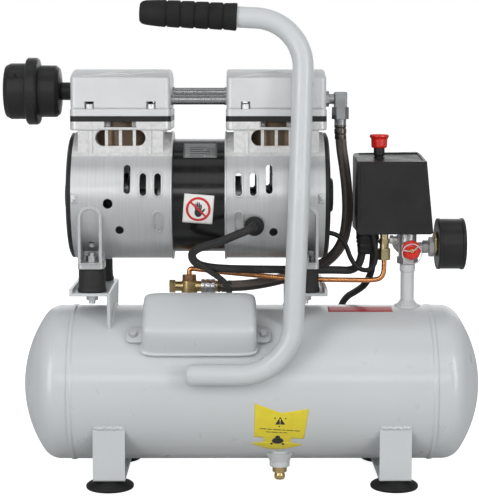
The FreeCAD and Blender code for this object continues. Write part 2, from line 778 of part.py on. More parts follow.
TUBE_SPOTS = [(-24.0, 375.5), (24.0, 382.5)]
transfer_radius = 4.5
head_bolts = []
for side in ("left", "right"):
    sign = -1 if side == "left" else 1
    head_x = HEAD_X[side]
    half_w = head_width / 2
    half_d = head_depth / 2
    flange = soften(plate(head_width, head_depth, head_flange_top - plate_top,
                          (head_x, 0, plate_top)), 6.0, upright)
    soften(flange, 1.2, flat_at(head_flange_top - plate_top))
    rise = head_crown - head_edge
    arch = (half_d * half_d + rise * rise) / (rise * 2)
    inset = 0.8
    dome = padded([(-half_d + inset, 0), (half_d - inset, 0),
                   (half_d - inset, head_edge - head_flange_top, arch),
                   (-half_d + inset, head_edge - head_flange_top)],
                  head_width - inset * 2, (head_x - half_w + inset, 0, head_flange_top), "side")
    soften(dome, 5.0, lambda edge: edge.BoundBox.ZLength < 1e-4 and edge.BoundBox.XLength < 1e-4
           and edge.BoundBox.YLength > 20)
    soften(dome, 2.5, lambda edge: edge.BoundBox.YMin > 20)
    cover = fuse(flange, dome)
    # a narrow groove marks the joint above the head's flange
    tools = [cut(block((head_width + 4, head_depth + 4, 0.9), (head_x, 0, head_flange_top - 0.1)),
                 block((head_width - inset * 2 - 1.4, head_depth - inset * 2 - 1.4, 4.0),
                       (head_x, 0, head_flange_top - 2)))]
    chamber_width = half_w - 9
    for end in (-1, 1):
        chamber_x = head_x + (chamber_width / 2 + 2.5) * end
        tools.append(block((chamber_width, head_depth - 16, 26.0), (chamber_x, 0, plate_top)))
    for spot_x, spot_y in BOLT_SPOTS:
        spot = (head_x + spot_x, spot_y)
        tools.append(cylinder(bolt_radius, 20, (*spot, plate_top - 1)))
        tools.append(cylinder(4.4, 7.0, (*spot, head_flange_top)))
        outward = -1 if spot_y < 0 else 1
        tools.append(block((8.8, 8.0, 7.0), (spot[0], spot[1] + 4.0 * outward, head_flange_top)))
        head_bolts.append(fuse(
            cylinder(bolt_radius, head_flange_top - 349, (*spot, 349.0)),
            cut(cylinder(3.9, 4.6, (*spot, head_flange_top)),
                hexagon(4.6, 3.0, (*spot, head_flange_top + 2.4)))))
    for tube_y, tube_z in TUBE_SPOTS:
        tools.append(cylinder(3.2, 16, (head_x - sign * half_w + (0 if sign > 0 else -16),
                                        tube_y, tube_z), "right"))
    node(f"head_cover_{side}", cut(cover, *tools))
node("head_bolts", group(*head_bolts))

transfer = []
gap_low = HEAD_X["left"] + head_width / 2 - 0.8
gap_high = HEAD_X["right"] - head_width / 2 + 0.8
for tube_y, tube_z in TUBE_SPOTS:
    transfer.append(fuse(
        tube(transfer_radius, 3.2, gap_high - gap_low, (gap_low, tube_y, tube_z), "right"),
        tube(6.3, 3.2, 4.0, (gap_low, tube_y, tube_z), "right"),
        tube(6.3, 3.2, 4.0, (gap_high - 4, tube_y, tube_z), "right")))
node("transfer_tubes", group(*transfer))

# the bolts screw into the crankcase flange
for side in ("left", "right"):
    casing = [item for item in NODES if item.Label == f"crankcase_{side}"][0]
    NODES.remove(casing)
    casing.Label = f"{side}_casting"
    holes = [cylinder(bolt_radius, 8, (HEAD_X[side] + x, y, 349.0)) for x, y in BOLT_SPOTS]
    node(f"crankcase_{side}", cut(casing, *holes))

# ---------------------------------------------------------------- end covers

cover_thickness = 5.0
for side in ("left", "right"):
    sign = -1 if side == "left" else 1
    facing = "left" if side == "left" else "right"
    face_x = motor_x + case_outer_x * sign
    dish = turned([(0, 0), (case_radius - 0.6, 0), (case_radius - 0.6, 3.4),
                   (case_radius - 4.0, cover_thickness), (19.0, cover_thickness),
                   (16.0, 10.5), (0, 10.5)], (face_x, 0, pump_height), facing)
    soften(dish, 1.2, flat_at(10.5))
    vents = []
    rings = [(25.0, 30.0), (34.0, 39.0), (43.0, 48.0), (52.0, 56.0)]
    low_x = face_x - (cover_thickness + 2 if sign < 0 else 1)
    spokes = []
    for turn in range(3):
        bar = box((cover_thickness + 4, 120.0, 7.0), (low_x - 1, 0, pump_height))
        angle = math.pi * turn / 3
        across = FreeCAD.Vector(0, math.cos(angle), math.sin(angle)) * -60
        lift = FreeCAD.Vector(0, -math.sin(angle), math.cos(angle)) * -3.5
        start = across + lift
        put(bar, (low_x - 1, start.y, pump_height + start.z),
            FreeCAD.Rotation(FreeCAD.Vector(1, 0, 0), math.degrees(angle)))
        spokes.append(bar)
    web_bars = fuse(*spokes)
    for inner_r, outer_r in rings:
        vents.append(cut(tube(outer_r, inner_r, cover_thickness + 3, (low_x, 0, pump_height),
                              "right"), web_bars))
    node(f"end_cover_{side}", cut(dish, *vents))

# ---------------------------------------------------------------- air filter

filter_root = HEAD_X["left"] - head_width / 2 + 0.8
filter_front = filter_root - 46.6
housing = turned([(0, 0), (8.8, 0), (8.8, 12.5), (22.5, 14.5), (25.5, 18.0), (25.5, 33.5),
                  (31.5, 35.0), (33.0, 37.0), (33.0, 45.2), (31.6, 46.6), (0, 46.6)],
                 (filter_root, 0, filter_height), "left")
soften(housing, 1.0, lambda edge: edge.BoundBox.XLength > 40 and edge.BoundBox.XLength < 52)
filter_bore = cylinder(5.5, 20.0, (filter_root - 18, 0, filter_height), "right")
filter_room = cylinder(22.5, 29.0, (filter_front, 0, filter_height), "right")
node("filter_housing", cut(housing, filter_bore, filter_room))
filter_lid = turned([(0, 0), (27.5, 0), (27.5, 16.0), (25.0, 21.0), (0, 22.0)],
                    (filter_front, 0, filter_height), "left")
soften(filter_lid, 2.0, lambda edge: edge.BoundBox.ZMin > 10 and edge.BoundBox.XLength > 40)
lid_cuts = [cylinder(22.5, 17.0, (filter_front - 17, 0, filter_height), "right")]
hole_x = filter_front - 7.1
for start_y in (-34.0, 20.0):
    lid_cuts.append(cylinder(2.9, 14.0, (hole_x, start_y, filter_height + 15.7), "back"))
lid_cuts.append(cylinder(2.9, 14.0, (hole_x, 0, filter_height - 34)))
node("filter_cap", cut(filter_lid, *lid_cuts))

# ---------------------------------------------------------------- discharge line

elbow_x = 88.0
elbow_z = 376.0
elbow_y = 4.0
head_right_face = HEAD_X["right"] + head_width / 2 - 0.8
elbow_block = soften(plate(13.0, 13.0, 15.0, (elbow_x, elbow_y, elbow_z - 8.0)), 2.0, upright)
soften(elbow_block, 1.5, flat_at(15.0))
elbow_body = fuse(
    elbow_block,
    cylinder(5.0, elbow_x - head_right_face, (head_right_face, elbow_y, elbow_z), "right"),
    hexagon(15.5, 4.5, (head_right_face + 1.0, elbow_y, elbow_z), "right"),
    hexagon(17.0, 12.0, (elbow_x, elbow_y, elbow_z - 20.0)),
    cylinder(5.9, 8.0, (elbow_x, elbow_y, elbow_z - 26.0)))
hose_start = (elbow_x, elbow_y, elbow_z - 26.0)
node("discharge_elbow", elbow_body)

HOSE_ROUTE = [
    hose_start,
    (88.6, 4.5, 332.0),
    (93.0, 6.0, 306.0),
    (96.0, 8.0, 280.0),
    (96.3, 10.0, 254.0),
    (91.0, 12.5, 227.5),
    (73.0, 14.0, 209.5),
    (50.0, 14.0, 200.8),
    (27.0, 13.5, 194.0),
    (5.0, 11.0, 190.0),
    (-14.0, 8.6, 188.4),
    (-34.0, 8.0, 188.4),
]
shape_node("discharge_hose", pipe(HOSE_ROUTE, hose_radius, "discharge hose"))

check_z = 188.4
check_base = tank_height + tank_radius - 3.5
check_parts = [
    hexagon(19.0, 9.0, (check_x, check_y, check_base + 3.6)),
    cylinder(8.0, 24.5, (check_x, check_y, check_base + 3.0)),
    cylinder(5.5, 12.0, (check_x + 4, check_y, check_z), "right"),
    hexagon(13.0, 9.0, (check_x + 14, check_y, check_z), "right"),
    cylinder(5.8, 6.5, (check_x + 22, check_y, check_z), "right"),
    cylinder(5.0, 8.0, (check_x - 14, check_y, check_z), "right"),
    hexagon(13.0, 6.0, (check_x - 20, check_y, check_z), "right"),
    hexagon(11.5, 7.0, (check_x, check_y, check_base + 27.0)),
]
check_solid = cut(fuse(*check_parts), tank_cylinder(tank_radius))
stub = cylinder(5.0, 9.0, (check_x, check_y, check_base - 5.5))
node("check_valve", fuse(check_solid, cut(stub, cylinder(3.0, 12, (check_x, check_y, check_base - 6)))))

# copper unloader tube from the check valve to the unloader valve under the switch
tube_bottom = check_base + 34.0
UNLOADER_ROUTE = [
    (check_x, check_y, tube_bottom),
    (check_x, check_y, tube_bottom + 6.2),
    (-45.0, 4.5, 204.8),
    (-20.0, 0.5, 202.6),
    (30.0, -5.0, 198.6),
    (66.0, -6.0, 196.8),
    (100.0, -3.0, 196.4),
    (unloader_x, unloader_y, 196.4),
    (unloader_x, unloader_y, 217.0),
]
UNLOADER_BENDS = [5.0, 60.0, 150.0, 200.0, 200.0, 60.0, 14.0]
shape_node("unloader_tube", sweep(bent_wire(UNLOADER_ROUTE, UNLOADER_BENDS), copper_radius,
                                  UNLOADER_ROUTE))
node("unloader_valve", fuse(
    hexagon(12.4, 11.5, (unloader_x, unloader_y, 217.0)),
    cylinder(4.6, 6.0, (unloader_x, unloader_y, 228.5)),
    hexagon(10.5, 5.0, (unloader_x, unloader_y, 233.0)),
    cylinder(4.2, 6.3, (unloader_x, unloader_y, 238.0))))

# ---------------------------------------------------------------- riser, manifold, valve

riser_body = turned([(4.5, -3.5), (11.5, -3.5), (11.5, 0.5), (riser_radius, 6.0),
                     (riser_radius, 34.0), (riser_radius + 1.0, 34.6), (riser_radius + 1.0, 41.4),
                     (riser_radius, 42.4), (4.5, 42.4)], (riser_x, 0, tank_height + tank_radius))
node("riser_pipe", cut(riser_body, tank_cylinder(tank_radius)))

manifold_solids = [
    hexagon(21.0, 7.0, (riser_x, 0, riser_top)),
    cylinder(9.0, switch_floor - riser_top, (riser_x, 0, riser_top)),
    cylinder(7.0, 19.0, (riser_x, 0, manifold_height), "front"),
    cylinder(7.0, 19.0, (riser_x, 0, manifold_height), "back"),
    cylinder(4.6, gauge_x - riser_x - 8, (riser_x, 0, manifold_height), "right"),
    hexagon(13.0, 5.0, (gauge_x - 14.0, 0, manifold_height), "right"),
    hexagon(20.0, 5.0, (gauge_x - 8.0, 0, manifold_height), "right"),
    cylinder(7.0, 3.0, (gauge_x - 3.0, 0, manifold_height), "right"),
]
manifold = fuse(*manifold_solids)
port = 3.0
node("manifold", cut(
    manifold, cylinder(4.5, 10, (riser_x, 0, riser_top - 1)),
    cylinder(port, switch_floor - riser_top - 4, (riser_x, 0, riser_top)),
    cylinder(port, 38.0, (riser_x, -19.0, manifold_height), "back"),
    cylinder(port, gauge_x - riser_x - 4, (riser_x, 0, manifold_height), "right")))

# safety valve: brass body that faces the front, red cap with its pull ring
valve_y = -19.0
safety_body = fuse(
    hexagon(15.0, 5.0, (riser_x, valve_y, manifold_height), "front"),
    cylinder(6.0, 9.0, (riser_x, valve_y, manifold_height), "front"))
node("safety_valve_body", cut(safety_body, cylinder(2.8, 20, (riser_x, valve_y + 1, manifold_height),
                                                    "front")))
cap_y = valve_y - 9.0 - 0.4
cap = turned([(0, 0), (7.0, 0), (9.4, 1.0), (9.9, 3.0), (9.4, 6.0), (7.0, 7.6), (3.0, 8.2), (0, 8.2)],
             (riser_x, cap_y, manifold_height), "front")
stem = cylinder(2.4, 7.0, (riser_x, cap_y + 7.0, manifold_height), "front")
lug = cylinder(2.6, 3.0, (riser_x - 1.5, cap_y - 9.2, manifold_height), "right")
# the pull ring hangs round the cap on a wire that crosses the stem
ring_radius = 9.6
ring_drop = 3.0
ring_wire = 0.8
cross_half = math.sqrt(ring_radius ** 2 - ring_drop ** 2)
pull_ring = fuse(
    torus(ring_radius, ring_wire, (riser_x, cap_y - 9.2, manifold_height - ring_drop), "front"),
    cylinder(ring_wire, cross_half * 2, (riser_x - cross_half, cap_y - 9.2, manifold_height),
             "right"))
node("safety_ring", fuse(fuse(cap, stem), lug, pull_ring))

# quick coupler for the air line, at the back of the manifold
coupler_y = 19.0
coupler_length = 34.0
coupler = fuse(
    hexagon(18.0, 6.0, (riser_x, coupler_y, manifold_height), "back"),
    cylinder(8.2, coupler_length - 6, (riser_x, coupler_y + 6, manifold_height), "back"),
    cylinder(9.4, 2.0, (riser_x, coupler_y + coupler_length - 2, manifold_height), "back"))
node("outlet_coupler", cut(
    coupler, cylinder(port, 14, (riser_x, coupler_y - 1, manifold_height), "back"),
    cylinder(5.6, 22.0, (riser_x, coupler_y + coupler_length - 22, manifold_height), "back")))
sleeve_start = coupler_y + 12.0
node("coupler_sleeve", tube(11.0, 8.25, 14.0, (riser_x, sleeve_start, manifold_height), "back"))

# ---------------------------------------------------------------- gauge

gauge_z = manifold_height + gauge_rise
gauge_case_body = turned([(0, 0), (gauge_radius, 0), (gauge_radius + 0.5, 0.6), (gauge_radius + 0.5, 2.6),
                          (gauge_radius, 3.2), (gauge_radius, 23.0),
                          (gauge_radius + 0.8, 23.6), (gauge_radius + 0.8, 26.2),
                          (gauge_radius - 0.6, 27.0), (0, 27.0)], (gauge_x, 0, gauge_z), "right")
node("gauge_case", cut(gauge_case_body, cylinder(gauge_radius - 2, 24.0, (gauge_x + 4, 0, gauge_z),
                                                 "right")))
dial_x = gauge_x + 15.0
node("gauge_dial", cut(cylinder(gauge_radius - 2, 1.0, (dial_x, 0, gauge_z), "right"),
                       cylinder(1.6, 4.0, (dial_x - 2, 0, gauge_z), "right")))
node("gauge_needle", fuse(
    padded([(-0.9, -5.0), (0.9, -5.0), (0.35, 17.0), (-0.35, 17.0)], 0.7,
           (dial_x + 2.6, 0, gauge_z), FreeCAD.Rotation(FreeCAD.Vector(1, 0, 0), 135)
           * FreeCAD.Rotation(FreeCAD.Vector(1, 1, 1), 120)),
    cylinder(1.5, 7.0, (dial_x - 2.4, 0, gauge_z), "right"),
    cylinder(2.6, 1.0, (dial_x + 2.6, 0, gauge_z), "right")))
node("gauge_lens", cylinder(gauge_radius - 2, 1.6, (gauge_x + 24.6, 0, gauge_z), "right"))

# ---------------------------------------------------------------- pressure switch

switch_middle = (switch_left + switch_right) / 2
slant = 7.8


def switch_block(inset, low, high):
    """The cover's outer form, or its hollow when it is inset."""
    lean = slant * (high - low) / (switch_top - switch_floor)
    outline = [(switch_left + inset, low), (switch_right - inset, low),
               (switch_right - inset - lean, high), (switch_left + inset, high - 1.2)]
    return padded(outline, switch_depth - inset * 2,
                  (0, switch_depth / 2 - inset, 0), "front")


cover_outer = switch_block(0, switch_floor, switch_top)
soften(cover_outer, 3.0, lambda edge: edge.BoundBox.ZLength > 20)
cover_hollow = switch_block(switch_wall, switch_floor - 1, 312.6)
# the top falls towards the front and is recessed inside a rim
top_slope = FreeCAD.Rotation(FreeCAD.Vector(1, 0, 0), 6.44)
top_cut = box((90.0, 80.0, 20.0), (switch_left - 5, -35.0, 315.05), top_slope)
top_recess = box((60.0, 50.0, 5.0), (switch_left + 4.5, -26.0, 314.9), top_slope)
panel_low = switch_floor + 10
panel = padded([(switch_left + 2.6, panel_low), (switch_right - 4.6, panel_low),
                (switch_right - slant - 3.4, 312.6), (switch_left + 2.6, 312.6)],
               1.2, (0, -switch_depth / 2 + 0.4, 0), "front")
knob_hole = cylinder(6.2, 20.0, (knob_x, 0, switch_top - 14))
node("switch_cover", cut(fuse(cut(cover_outer, top_cut, top_recess), panel), cover_hollow, knob_hole))

base_low = switch_floor + 0.02
base_plate = block((switch_right - switch_left - switch_wall * 2 - 0.6,
                    switch_depth - switch_wall * 2 - 0.6, 3.0), (switch_middle, 0, base_low))
base_top = base_low + 3.0
post = cylinder(14.0, 16.0, (riser_x - 2, 0, base_top))
base_holes = []
for index in range(2):
    base_holes.append(cylinder(5.05, 8.0, (gland_x + gland_pitch * index, 0, base_low - 2)))
node("switch_base", cut(fuse(base_plate, post), *base_holes))
node("switch_contact_block", cut(
    block((29.0, 44.0, 40.0), (knob_x - 3, 0, base_top + 4)),
    cylinder(5.0, 30.0, (knob_x, 0, base_top + 24))))

knob_profile = [(0, -36.0), (4.4, -36.0), (4.4, -3.0), (5.6, -2.0), (5.6, 4.5), (7.4, 5.5), (7.8, 7.0),
                (8.2, 14.6), (9.2, 15.6), (9.6, 16.6), (9.4, 18.2), (8.6, 18.9), (5.5, 19.4),
                (0, 19.6)]
knob = turned(knob_profile, (knob_x, 0, switch_top))
node("switch_knob", knob)

# one ribbed boot under the switch relieves the motor cable and the mains cord
glands = []
for index in range(2):
    spot = (gland_x + gland_pitch * index, 0)
    profile = [(0, -21.0), (4.4, -21.0), (5.0, -11.4), (5.9, -11.0), (5.9, -8.8), (5.3, -8.3), (5.3, -7.7),
               (5.9, -7.2), (5.9, -5.0), (5.3, -4.5), (5.3, -3.9), (5.9, -3.4), (5.9, 0), (5.0, 0),
               (5.0, 3.0), (0, 3.0)]
    glands.append(turned(profile, (*spot, switch_floor)))
gland_end = switch_floor - 21.0
gland_bridge = block((gland_pitch, 9.0, 11.4), (gland_x + gland_pitch / 2, 0, switch_floor - 11.4))
node("cable_glands", fuse(*glands, gland_bridge))

# ---------------------------------------------------------------- brackets and mounts

for side in ("left", "right"):
    sign = -1 if side == "left" else 1
    mount_x = motor_x + mount_offset * sign
    web_x = mount_x - sign * 15.0
    tray_low = mount_bottom - tray_thickness
    reach = 21.0
    outer_x = mount_x + sign * reach
    tray_half = 56.0
    tray_left = outer_x if sign < 0 else web_x
    tray = box((reach + 15.0, tray_half * 2, tray_thickness), (tray_left, -tray_half, tray_low))
    lip = box((tray_thickness, tray_half * 2, 7.0),
              (outer_x - (0 if sign < 0 else tray_thickness), -tray_half, tray_low))
    web_left = web_x - (tray_thickness if sign > 0 else 0)
    web = padded([(-tray_half, mount_bottom), (tray_half, mount_bottom), (43.0, 140.0), (-43.0, 140.0)],
                 tray_thickness, (web_left, 0, 0), "side")
    bracket = fuse(tray, lip, web)
    bracket = round_edges(bracket, 2.0, lambda edge: edge.BoundBox.YLength > 100
                          and abs(edge.BoundBox.ZMin - float(mount_bottom)) < 0.01
                          and abs(edge.BoundBox.XMin - float(web_x + frame_x)) < 4)
    holes = [cylinder(3.3, 12, (mount_x, mount_y * end, tray_low - 4)) for end in (-1, 1)]
    node(f"bracket_{side}", cut(bracket, tank_cylinder(tank_radius), *holes))

mounts = []
bolts = []
for sign in (-1, 1):
    mount_x = motor_x + mount_offset * sign
    for end in (-1, 1):
        spot = (mount_x, mount_y * end)
        height = mount_top - mount_bottom
        rubber = turned([(3.2, 0), (14.2, 0), (14.2, 2.0), (13.0, 6.0), (13.0, height - 1.5), (12.2, height),
                         (3.2, height)], (*spot, mount_bottom))
        mounts.append(rubber)
        bolts.append(fuse(
            cylinder(3.1, 50.0, (*spot, 178.5)),
            hexagon(11.5, 5.0, (*spot, lug_top)),
            hexagon(11.5, 5.0, (*spot, mount_bottom - tray_thickness - 5))))
node("rubber_mounts", group(*mounts))
node("mount_bolts", group(*bolts))

# ---------------------------------------------------------------- capacitor and its cover

tilt = FreeCAD.Rotation(FreeCAD.Vector(1, 0, 0), float(cover_tilt))
tilt_cos = math.cos(math.radians(float(cover_tilt)))
tilt_sin = math.sin(math.radians(float(cover_tilt)))


def on_cover(along, across, out):
    """A place given along X, up the cover's face, and out from the tank's axis."""
    return (motor_x + along, -out * tilt_sin + across * tilt_cos,
            tank_height + out * tilt_cos + across * tilt_sin)


def cover_box(length, width, low, high, corner, edge):
    body = plate(length, width, high - low, (0, 0, 0))
    soften(body, corner, upright)
    if edge:
        soften(body, edge, flat_at(high - low))
    return put(body, on_cover(0, 0, low), tilt)


cover_rim = cover_reach - cover_depth
pan_outer = cover_box(cover_length, cover_width, cover_rim, cover_reach, 8.0, 5.0)
pan_inner = cover_box(cover_length - cover_sheet * 2, cover_width - cover_sheet * 2,
                      cover_rim, cover_reach - cover_sheet, 6.8, 3.8)
flare = cover_box(cover_length + 7, cover_width + 7, cover_rim, cover_rim + 1.4, 10.0, 0)
hollow_tool = cover_box(cover_length - cover_sheet * 2, cover_width - cover_sheet * 2,
                        cover_rim - 5, cover_rim + 6, 6.8, 0)
ears = []
ear_out = 78.0
ear_holes = []
for sign in (-1, 1):
    ear_centre = (cover_length / 2 + 5) * sign
    ear = soften(plate(16.0, 22.0, 1.6, (0, 0, 0)), 5.0, upright)
    ears.append(put(ear, on_cover(ear_centre, -6.0, ear_out), tilt))
    ear_holes.append(cylinder(2.6, 8.0, on_cover(ear_centre + sign * 3, -6.0, ear_out - 3), tilt))
    screws.append(fuse(
        cylinder(2.5, 4.0, on_cover(ear_centre + sign * 3, -6.0, ear_out - 1.5), tilt),
        cone(4.8, 3.4, 3.0, on_cover(ear_centre + sign * 3, -6.0, ear_out + 1.6), tilt)))
cable_hole = cylinder(3.4, 22.0, (motor_x + 30.0, -36.7, 174.0))
pan = cut(fuse(cut(pan_outer, pan_inner), cut(flare, hollow_tool), *ears), hollow_tool,
          tank_cylinder(tank_radius + 0.3), cable_hole, *ear_holes)
node("capacitor_cover", pan)
node("pan_head_screws", group(*screws))
can_body = plate(58.0, 35.0, 20.0, (0, 0, 0))
soften(can_body, 3.0, lambda edge: edge.BoundBox.XLength > 50)
node("capacitor", put(can_body, on_cover(-6.0, -4.0, tank_radius + 0.6), tilt))

# ---------------------------------------------------------------- handle

handle_low = tank_height + 22.4
weld_y = -83.8
lean_y = -50.0
HANDLE_ROUTE = [
    (-59.0, weld_y, handle_low),
    (36.5, weld_y, handle_low),
    (43.5, -82.5, 282.0),
    (49.6, lean_y - 2.5, 451.0),
    (-16.0, lean_y, 453.0),
]
HANDLE_BENDS = [51.0, 160.0, 47.0]


grip_tip = (-103.5, lean_y + 1.0, 458.6)
handle_points = HANDLE_ROUTE[:-1] + [grip_tip]
handle_wire = bent_wire(handle_points, HANDLE_BENDS)


tank_tool = Part.makeCylinder(float(tank_radius), 2 * float(seam_x),
                              vector((-seam_x, 0, tank_height)),
                              FreeCAD.Vector(1, 0, 0))
handle_outer = sweep(handle_wire, handle_radius, handle_points)
handle_inner = sweep(handle_wire, handle_radius - handle_wall, handle_points)
handle_shape = handle_outer.cut(handle_inner).cut(tank_tool)
shape_node("handle_tube", handle_shape)

grip_line = (vector(HANDLE_ROUTE[-2]) - vector(grip_tip)).normalize()
grip_turn = FreeCAD.Rotation(FreeCAD.Vector(0, 0, 1), grip_line)
grip_length = 89.5
groove_spots = [22.0, 35.5, 49.0, 62.5, 76.0]
grip_profile = [(0, -4.0), (9.0, -4.0, 12.0), (grip_radius - 0.8, 2.0), (grip_radius - 0.4, 10.0)]
for spot in groove_spots:
    grip_profile += [(grip_radius, spot - 1.6), (grip_radius - 1.3, spot), (grip_radius, spot + 1.6)]
grip_profile += [(grip_radius + 0.2, grip_length - 3), (grip_radius - 1.0, grip_length - 0.5),
                 (handle_radius, grip_length - 0.5), (handle_radius, 0), (0, 0)]
grip = turned(grip_profile, (0, 0, 0))
put(grip, grip_tip, grip_turn)
node("handle_grip", grip)

# ---------------------------------------------------------------- cables

gland_left = (gland_x, 0, gland_end - 0.6)
gland_right = (gland_x + gland_pitch, 0, gland_end - 0.4)
MOTOR_CABLE = [
    (2.1, -58.5, 255.5),
    (-1.0, -72.0, 254.0),
    (-14.0, -80.0, 249.5),
    (-29.0, -79.0, 243.0),
    (-43.0, -74.0, 236.0),
    (-57.0, -70.0, 231.0),
    (-65.0, -61.0, 221.0),
    (-59.0, -50.0, 211.5),
    (-42.0, -43.0, 209.0),
    (-22.0, -38.0, 209.0),
    (0.0, -31.0, 208.5),
    (22.0, -25.0, 208.0),
    (43.0, -19.0, 207.5),
    (65.0, -13.0, 207.0),
    (86.0, -6.0, 206.5),
    (100.0, -2.0, 205.2),
    (108.6, -0.4, 212.0),
    gland_left,
]
CAPACITOR_CABLE = [
    (-50.0, -50.1, 205.2),
    (-41.0, -49.0, 204.0),
    (-32.0, -45.0, 201.5),
    (-25.0, -40.5, 196.0),
    (-21.8, -36.7, 188.5),
    (-21.8, -36.7, 180.5),
]
THERMAL_CABLE = [
    (motor_x + case_outer_x + cover_thickness + 0.2, -14.0, 244.5),
    (84.5, -13.8, 243.5),
    (93.5, -13.3, 233.0),
    (98.5, -12.8, 219.0),
    (109.5, -12.0, 208.6),
    (117.5, -12.0, 211.5),
    (121.5, -12.0, 220.5),
    (121.0, -12.0, 232.0),
    (119.0, -12.0, switch_floor),
]
motor_cable = pipe(MOTOR_CABLE, 3.6, "motor cable")
capacitor_cable = pipe(CAPACITOR_CABLE, 2.6, "capacitor cable")
thermal_cable = pipe(THERMAL_CABLE, 2.4, "thermal cable")
shape_node("motor_cables", Part.makeCompound([motor_cable, capacitor_cable, thermal_cable]))

# mains cord: out of its gland, back over the tank, down to the floor, to a coil behind
COIL_CENTRE = (52.0, 146.0)
coil_middle = 38.5
coil_height = cord_radius * 4
CORD_ROUTE = [
    gland_right,
    (121.3, 1.2, 208.0),
    (116.0, 11.0, 190.5),
    (107.0, 27.0, 180.5),
    (99.0, 45.0, 173.0),
    (94.0, 62.0, 161.0),
    (92.0, 76.0, 144.0),
    (91.5, 86.0, 122.0),
    (92.0, 91.0, 98.0),
    (93.0, 93.0, 74.0),
    (95.0, 94.5, 52.0),
    (98.0, 98.0, 34.0),
    (101.5, 105.0, 18.5),
    (105.0, 116.0, 8.0),
    (107.0, 130.0, 3.8),
    (104.6, 146.0, 3.6),
]
PLUG_END = (-14.0, 176.0, 12.1)
TAIL_ROUTE = [
    (26.0, 193.0, 10.6),
    (11.0, 189.5, 11.0),
    (-1.0, 179.5, 12.0),
    (-12.8, 176.3, 12.1),
]
shape_node("mains_cord", Part.makeCompound([
    pipe(CORD_ROUTE, cord_radius, "mains cord"), pipe(TAIL_ROUTE, cord_radius, "cord to the plug")]))
coil_ring = tube(coil_middle + cord_radius * 3, coil_middle - cord_radius * 3, coil_height,
                 (COIL_CENTRE[0], COIL_CENTRE[1], 0.1))
node("cord_coil", coil_ring)
plug_x = PLUG_END[0] - 48.0
plug_y = PLUG_END[1]
plug_body = turned([(0, 0), (9.0, 0), (11.0, 2.0), (17.0, 14.0), (18.0, 17.0), (18.0, 34.0), (17.0, 35.0),
                    (0, 35.0)], (plug_x + 30, plug_y, 18.2), "left")
plug_flats = [box((90.0, 60.0, 20.0), (plug_x - 40, plug_y - 30, 30.2)),
              box((90.0, 60.0, 20.0), (plug_x - 40, plug_y - 30, -13.8))]
plug_strain = cone(6.0, 4.2, 18.0, (plug_x + 30, plug_y, 18.2), "right")
pins = [cylinder(2.4, 19.0, (plug_x - 5, plug_y + 9.5 * end, 18.2), "left") for end in (-1, 1)]
plug = fuse(cut(plug_body, *plug_flats), plug_strain, *pins)
plug.Placement = FreeCAD.Placement(FreeCAD.Vector(0, 0, -6.1), FreeCAD.Rotation())
node("mains_plug", plug)

# ---------------------------------------------------------------- checks and output

DOC.recompute()
for obj in DOC.Objects:
    if "Invalid" in obj.State or "Error" in obj.State:
        raise RuntimeError(f"{obj.Name} {obj.Label} failed: {obj.State}")
labels = [item.Label for item in NODES]
assert len(set(labels)) == len(labels) <= 60
for item in NODES:
    if item.Shape.isNull() or not item.Shape.isValid() or not item.Shape.Solids:
        raise RuntimeError(f"{item.Label} has no valid solid")
os.makedirs("parts", exist_ok=True)
for item in NODES:
    item.Shape.exportStep(f"parts/{item.Label}.step")
print(len(NODES), "nodes written")
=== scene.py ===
import math

import bpy
import numpy as np
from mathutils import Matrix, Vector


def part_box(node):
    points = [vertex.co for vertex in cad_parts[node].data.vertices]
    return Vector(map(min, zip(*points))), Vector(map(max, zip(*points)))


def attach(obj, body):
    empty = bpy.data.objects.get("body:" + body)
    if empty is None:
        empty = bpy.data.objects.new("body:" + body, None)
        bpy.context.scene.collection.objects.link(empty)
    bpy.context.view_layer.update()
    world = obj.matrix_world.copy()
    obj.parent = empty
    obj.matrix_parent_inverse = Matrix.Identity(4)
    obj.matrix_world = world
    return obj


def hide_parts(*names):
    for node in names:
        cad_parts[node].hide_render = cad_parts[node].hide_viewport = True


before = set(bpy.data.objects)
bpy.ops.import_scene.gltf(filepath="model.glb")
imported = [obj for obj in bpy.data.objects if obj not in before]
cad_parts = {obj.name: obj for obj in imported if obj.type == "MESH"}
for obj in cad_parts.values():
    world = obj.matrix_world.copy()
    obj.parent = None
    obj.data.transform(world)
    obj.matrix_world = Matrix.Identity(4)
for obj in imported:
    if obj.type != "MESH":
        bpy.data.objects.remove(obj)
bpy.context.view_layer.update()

# ------------------------------------------------------------ studio
# A white floor, six soft boxes and a pale room. The tall boxes left and right
# draw the long highlights on the tubes and the tank's ends.

tank_left_low, tank_left_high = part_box("tank_head_left")
tank_right_low, tank_right_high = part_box("tank_head_right")
middle_x = (tank_left_low.x + tank_right_high.x) / 2
middle_y = (tank_left_low.y + tank_left_high.y) / 2


def mm(points):
    """Places in millimetres from the floor point midway between the feet, as metres in the frame."""
    return np.asarray(points, float) * 0.001 + np.array([middle_x, middle_y, 0.0])


camera_data = bpy.data.cameras.new("camera")
camera = bpy.data.objects.new("camera", camera_data)
bpy.context.scene.collection.objects.link(camera)
bpy.context.scene.camera = camera
camera.location = mm([-16.9, -1452.5, 388.1])
camera.rotation_euler = (math.radians(90) - 0.084, 0.0, -0.0033)
camera_data.sensor_width = 36.0
camera_data.lens = 36.0 * 1463.9 / 500
camera_data.shift_y = -0.08
camera_data.clip_start = 0.05
camera_data.clip_end = 100


def soft_box(name, place, aim, width, height, power):
    """A rectangular area light at a place, turned to face the aim."""
    data = bpy.data.lights.new(name, "AREA")
    data.shape = "RECTANGLE"
    data.size, data.size_y, data.energy = width, height, power
    lamp = bpy.data.objects.new(name, data)
    bpy.context.scene.collection.objects.link(lamp)
    from_place = Vector(place)
    lamp.location = from_place
    lamp.rotation_euler = (Vector(aim) - from_place).to_track_quat("-Z", "Y").to_euler()
    return lamp


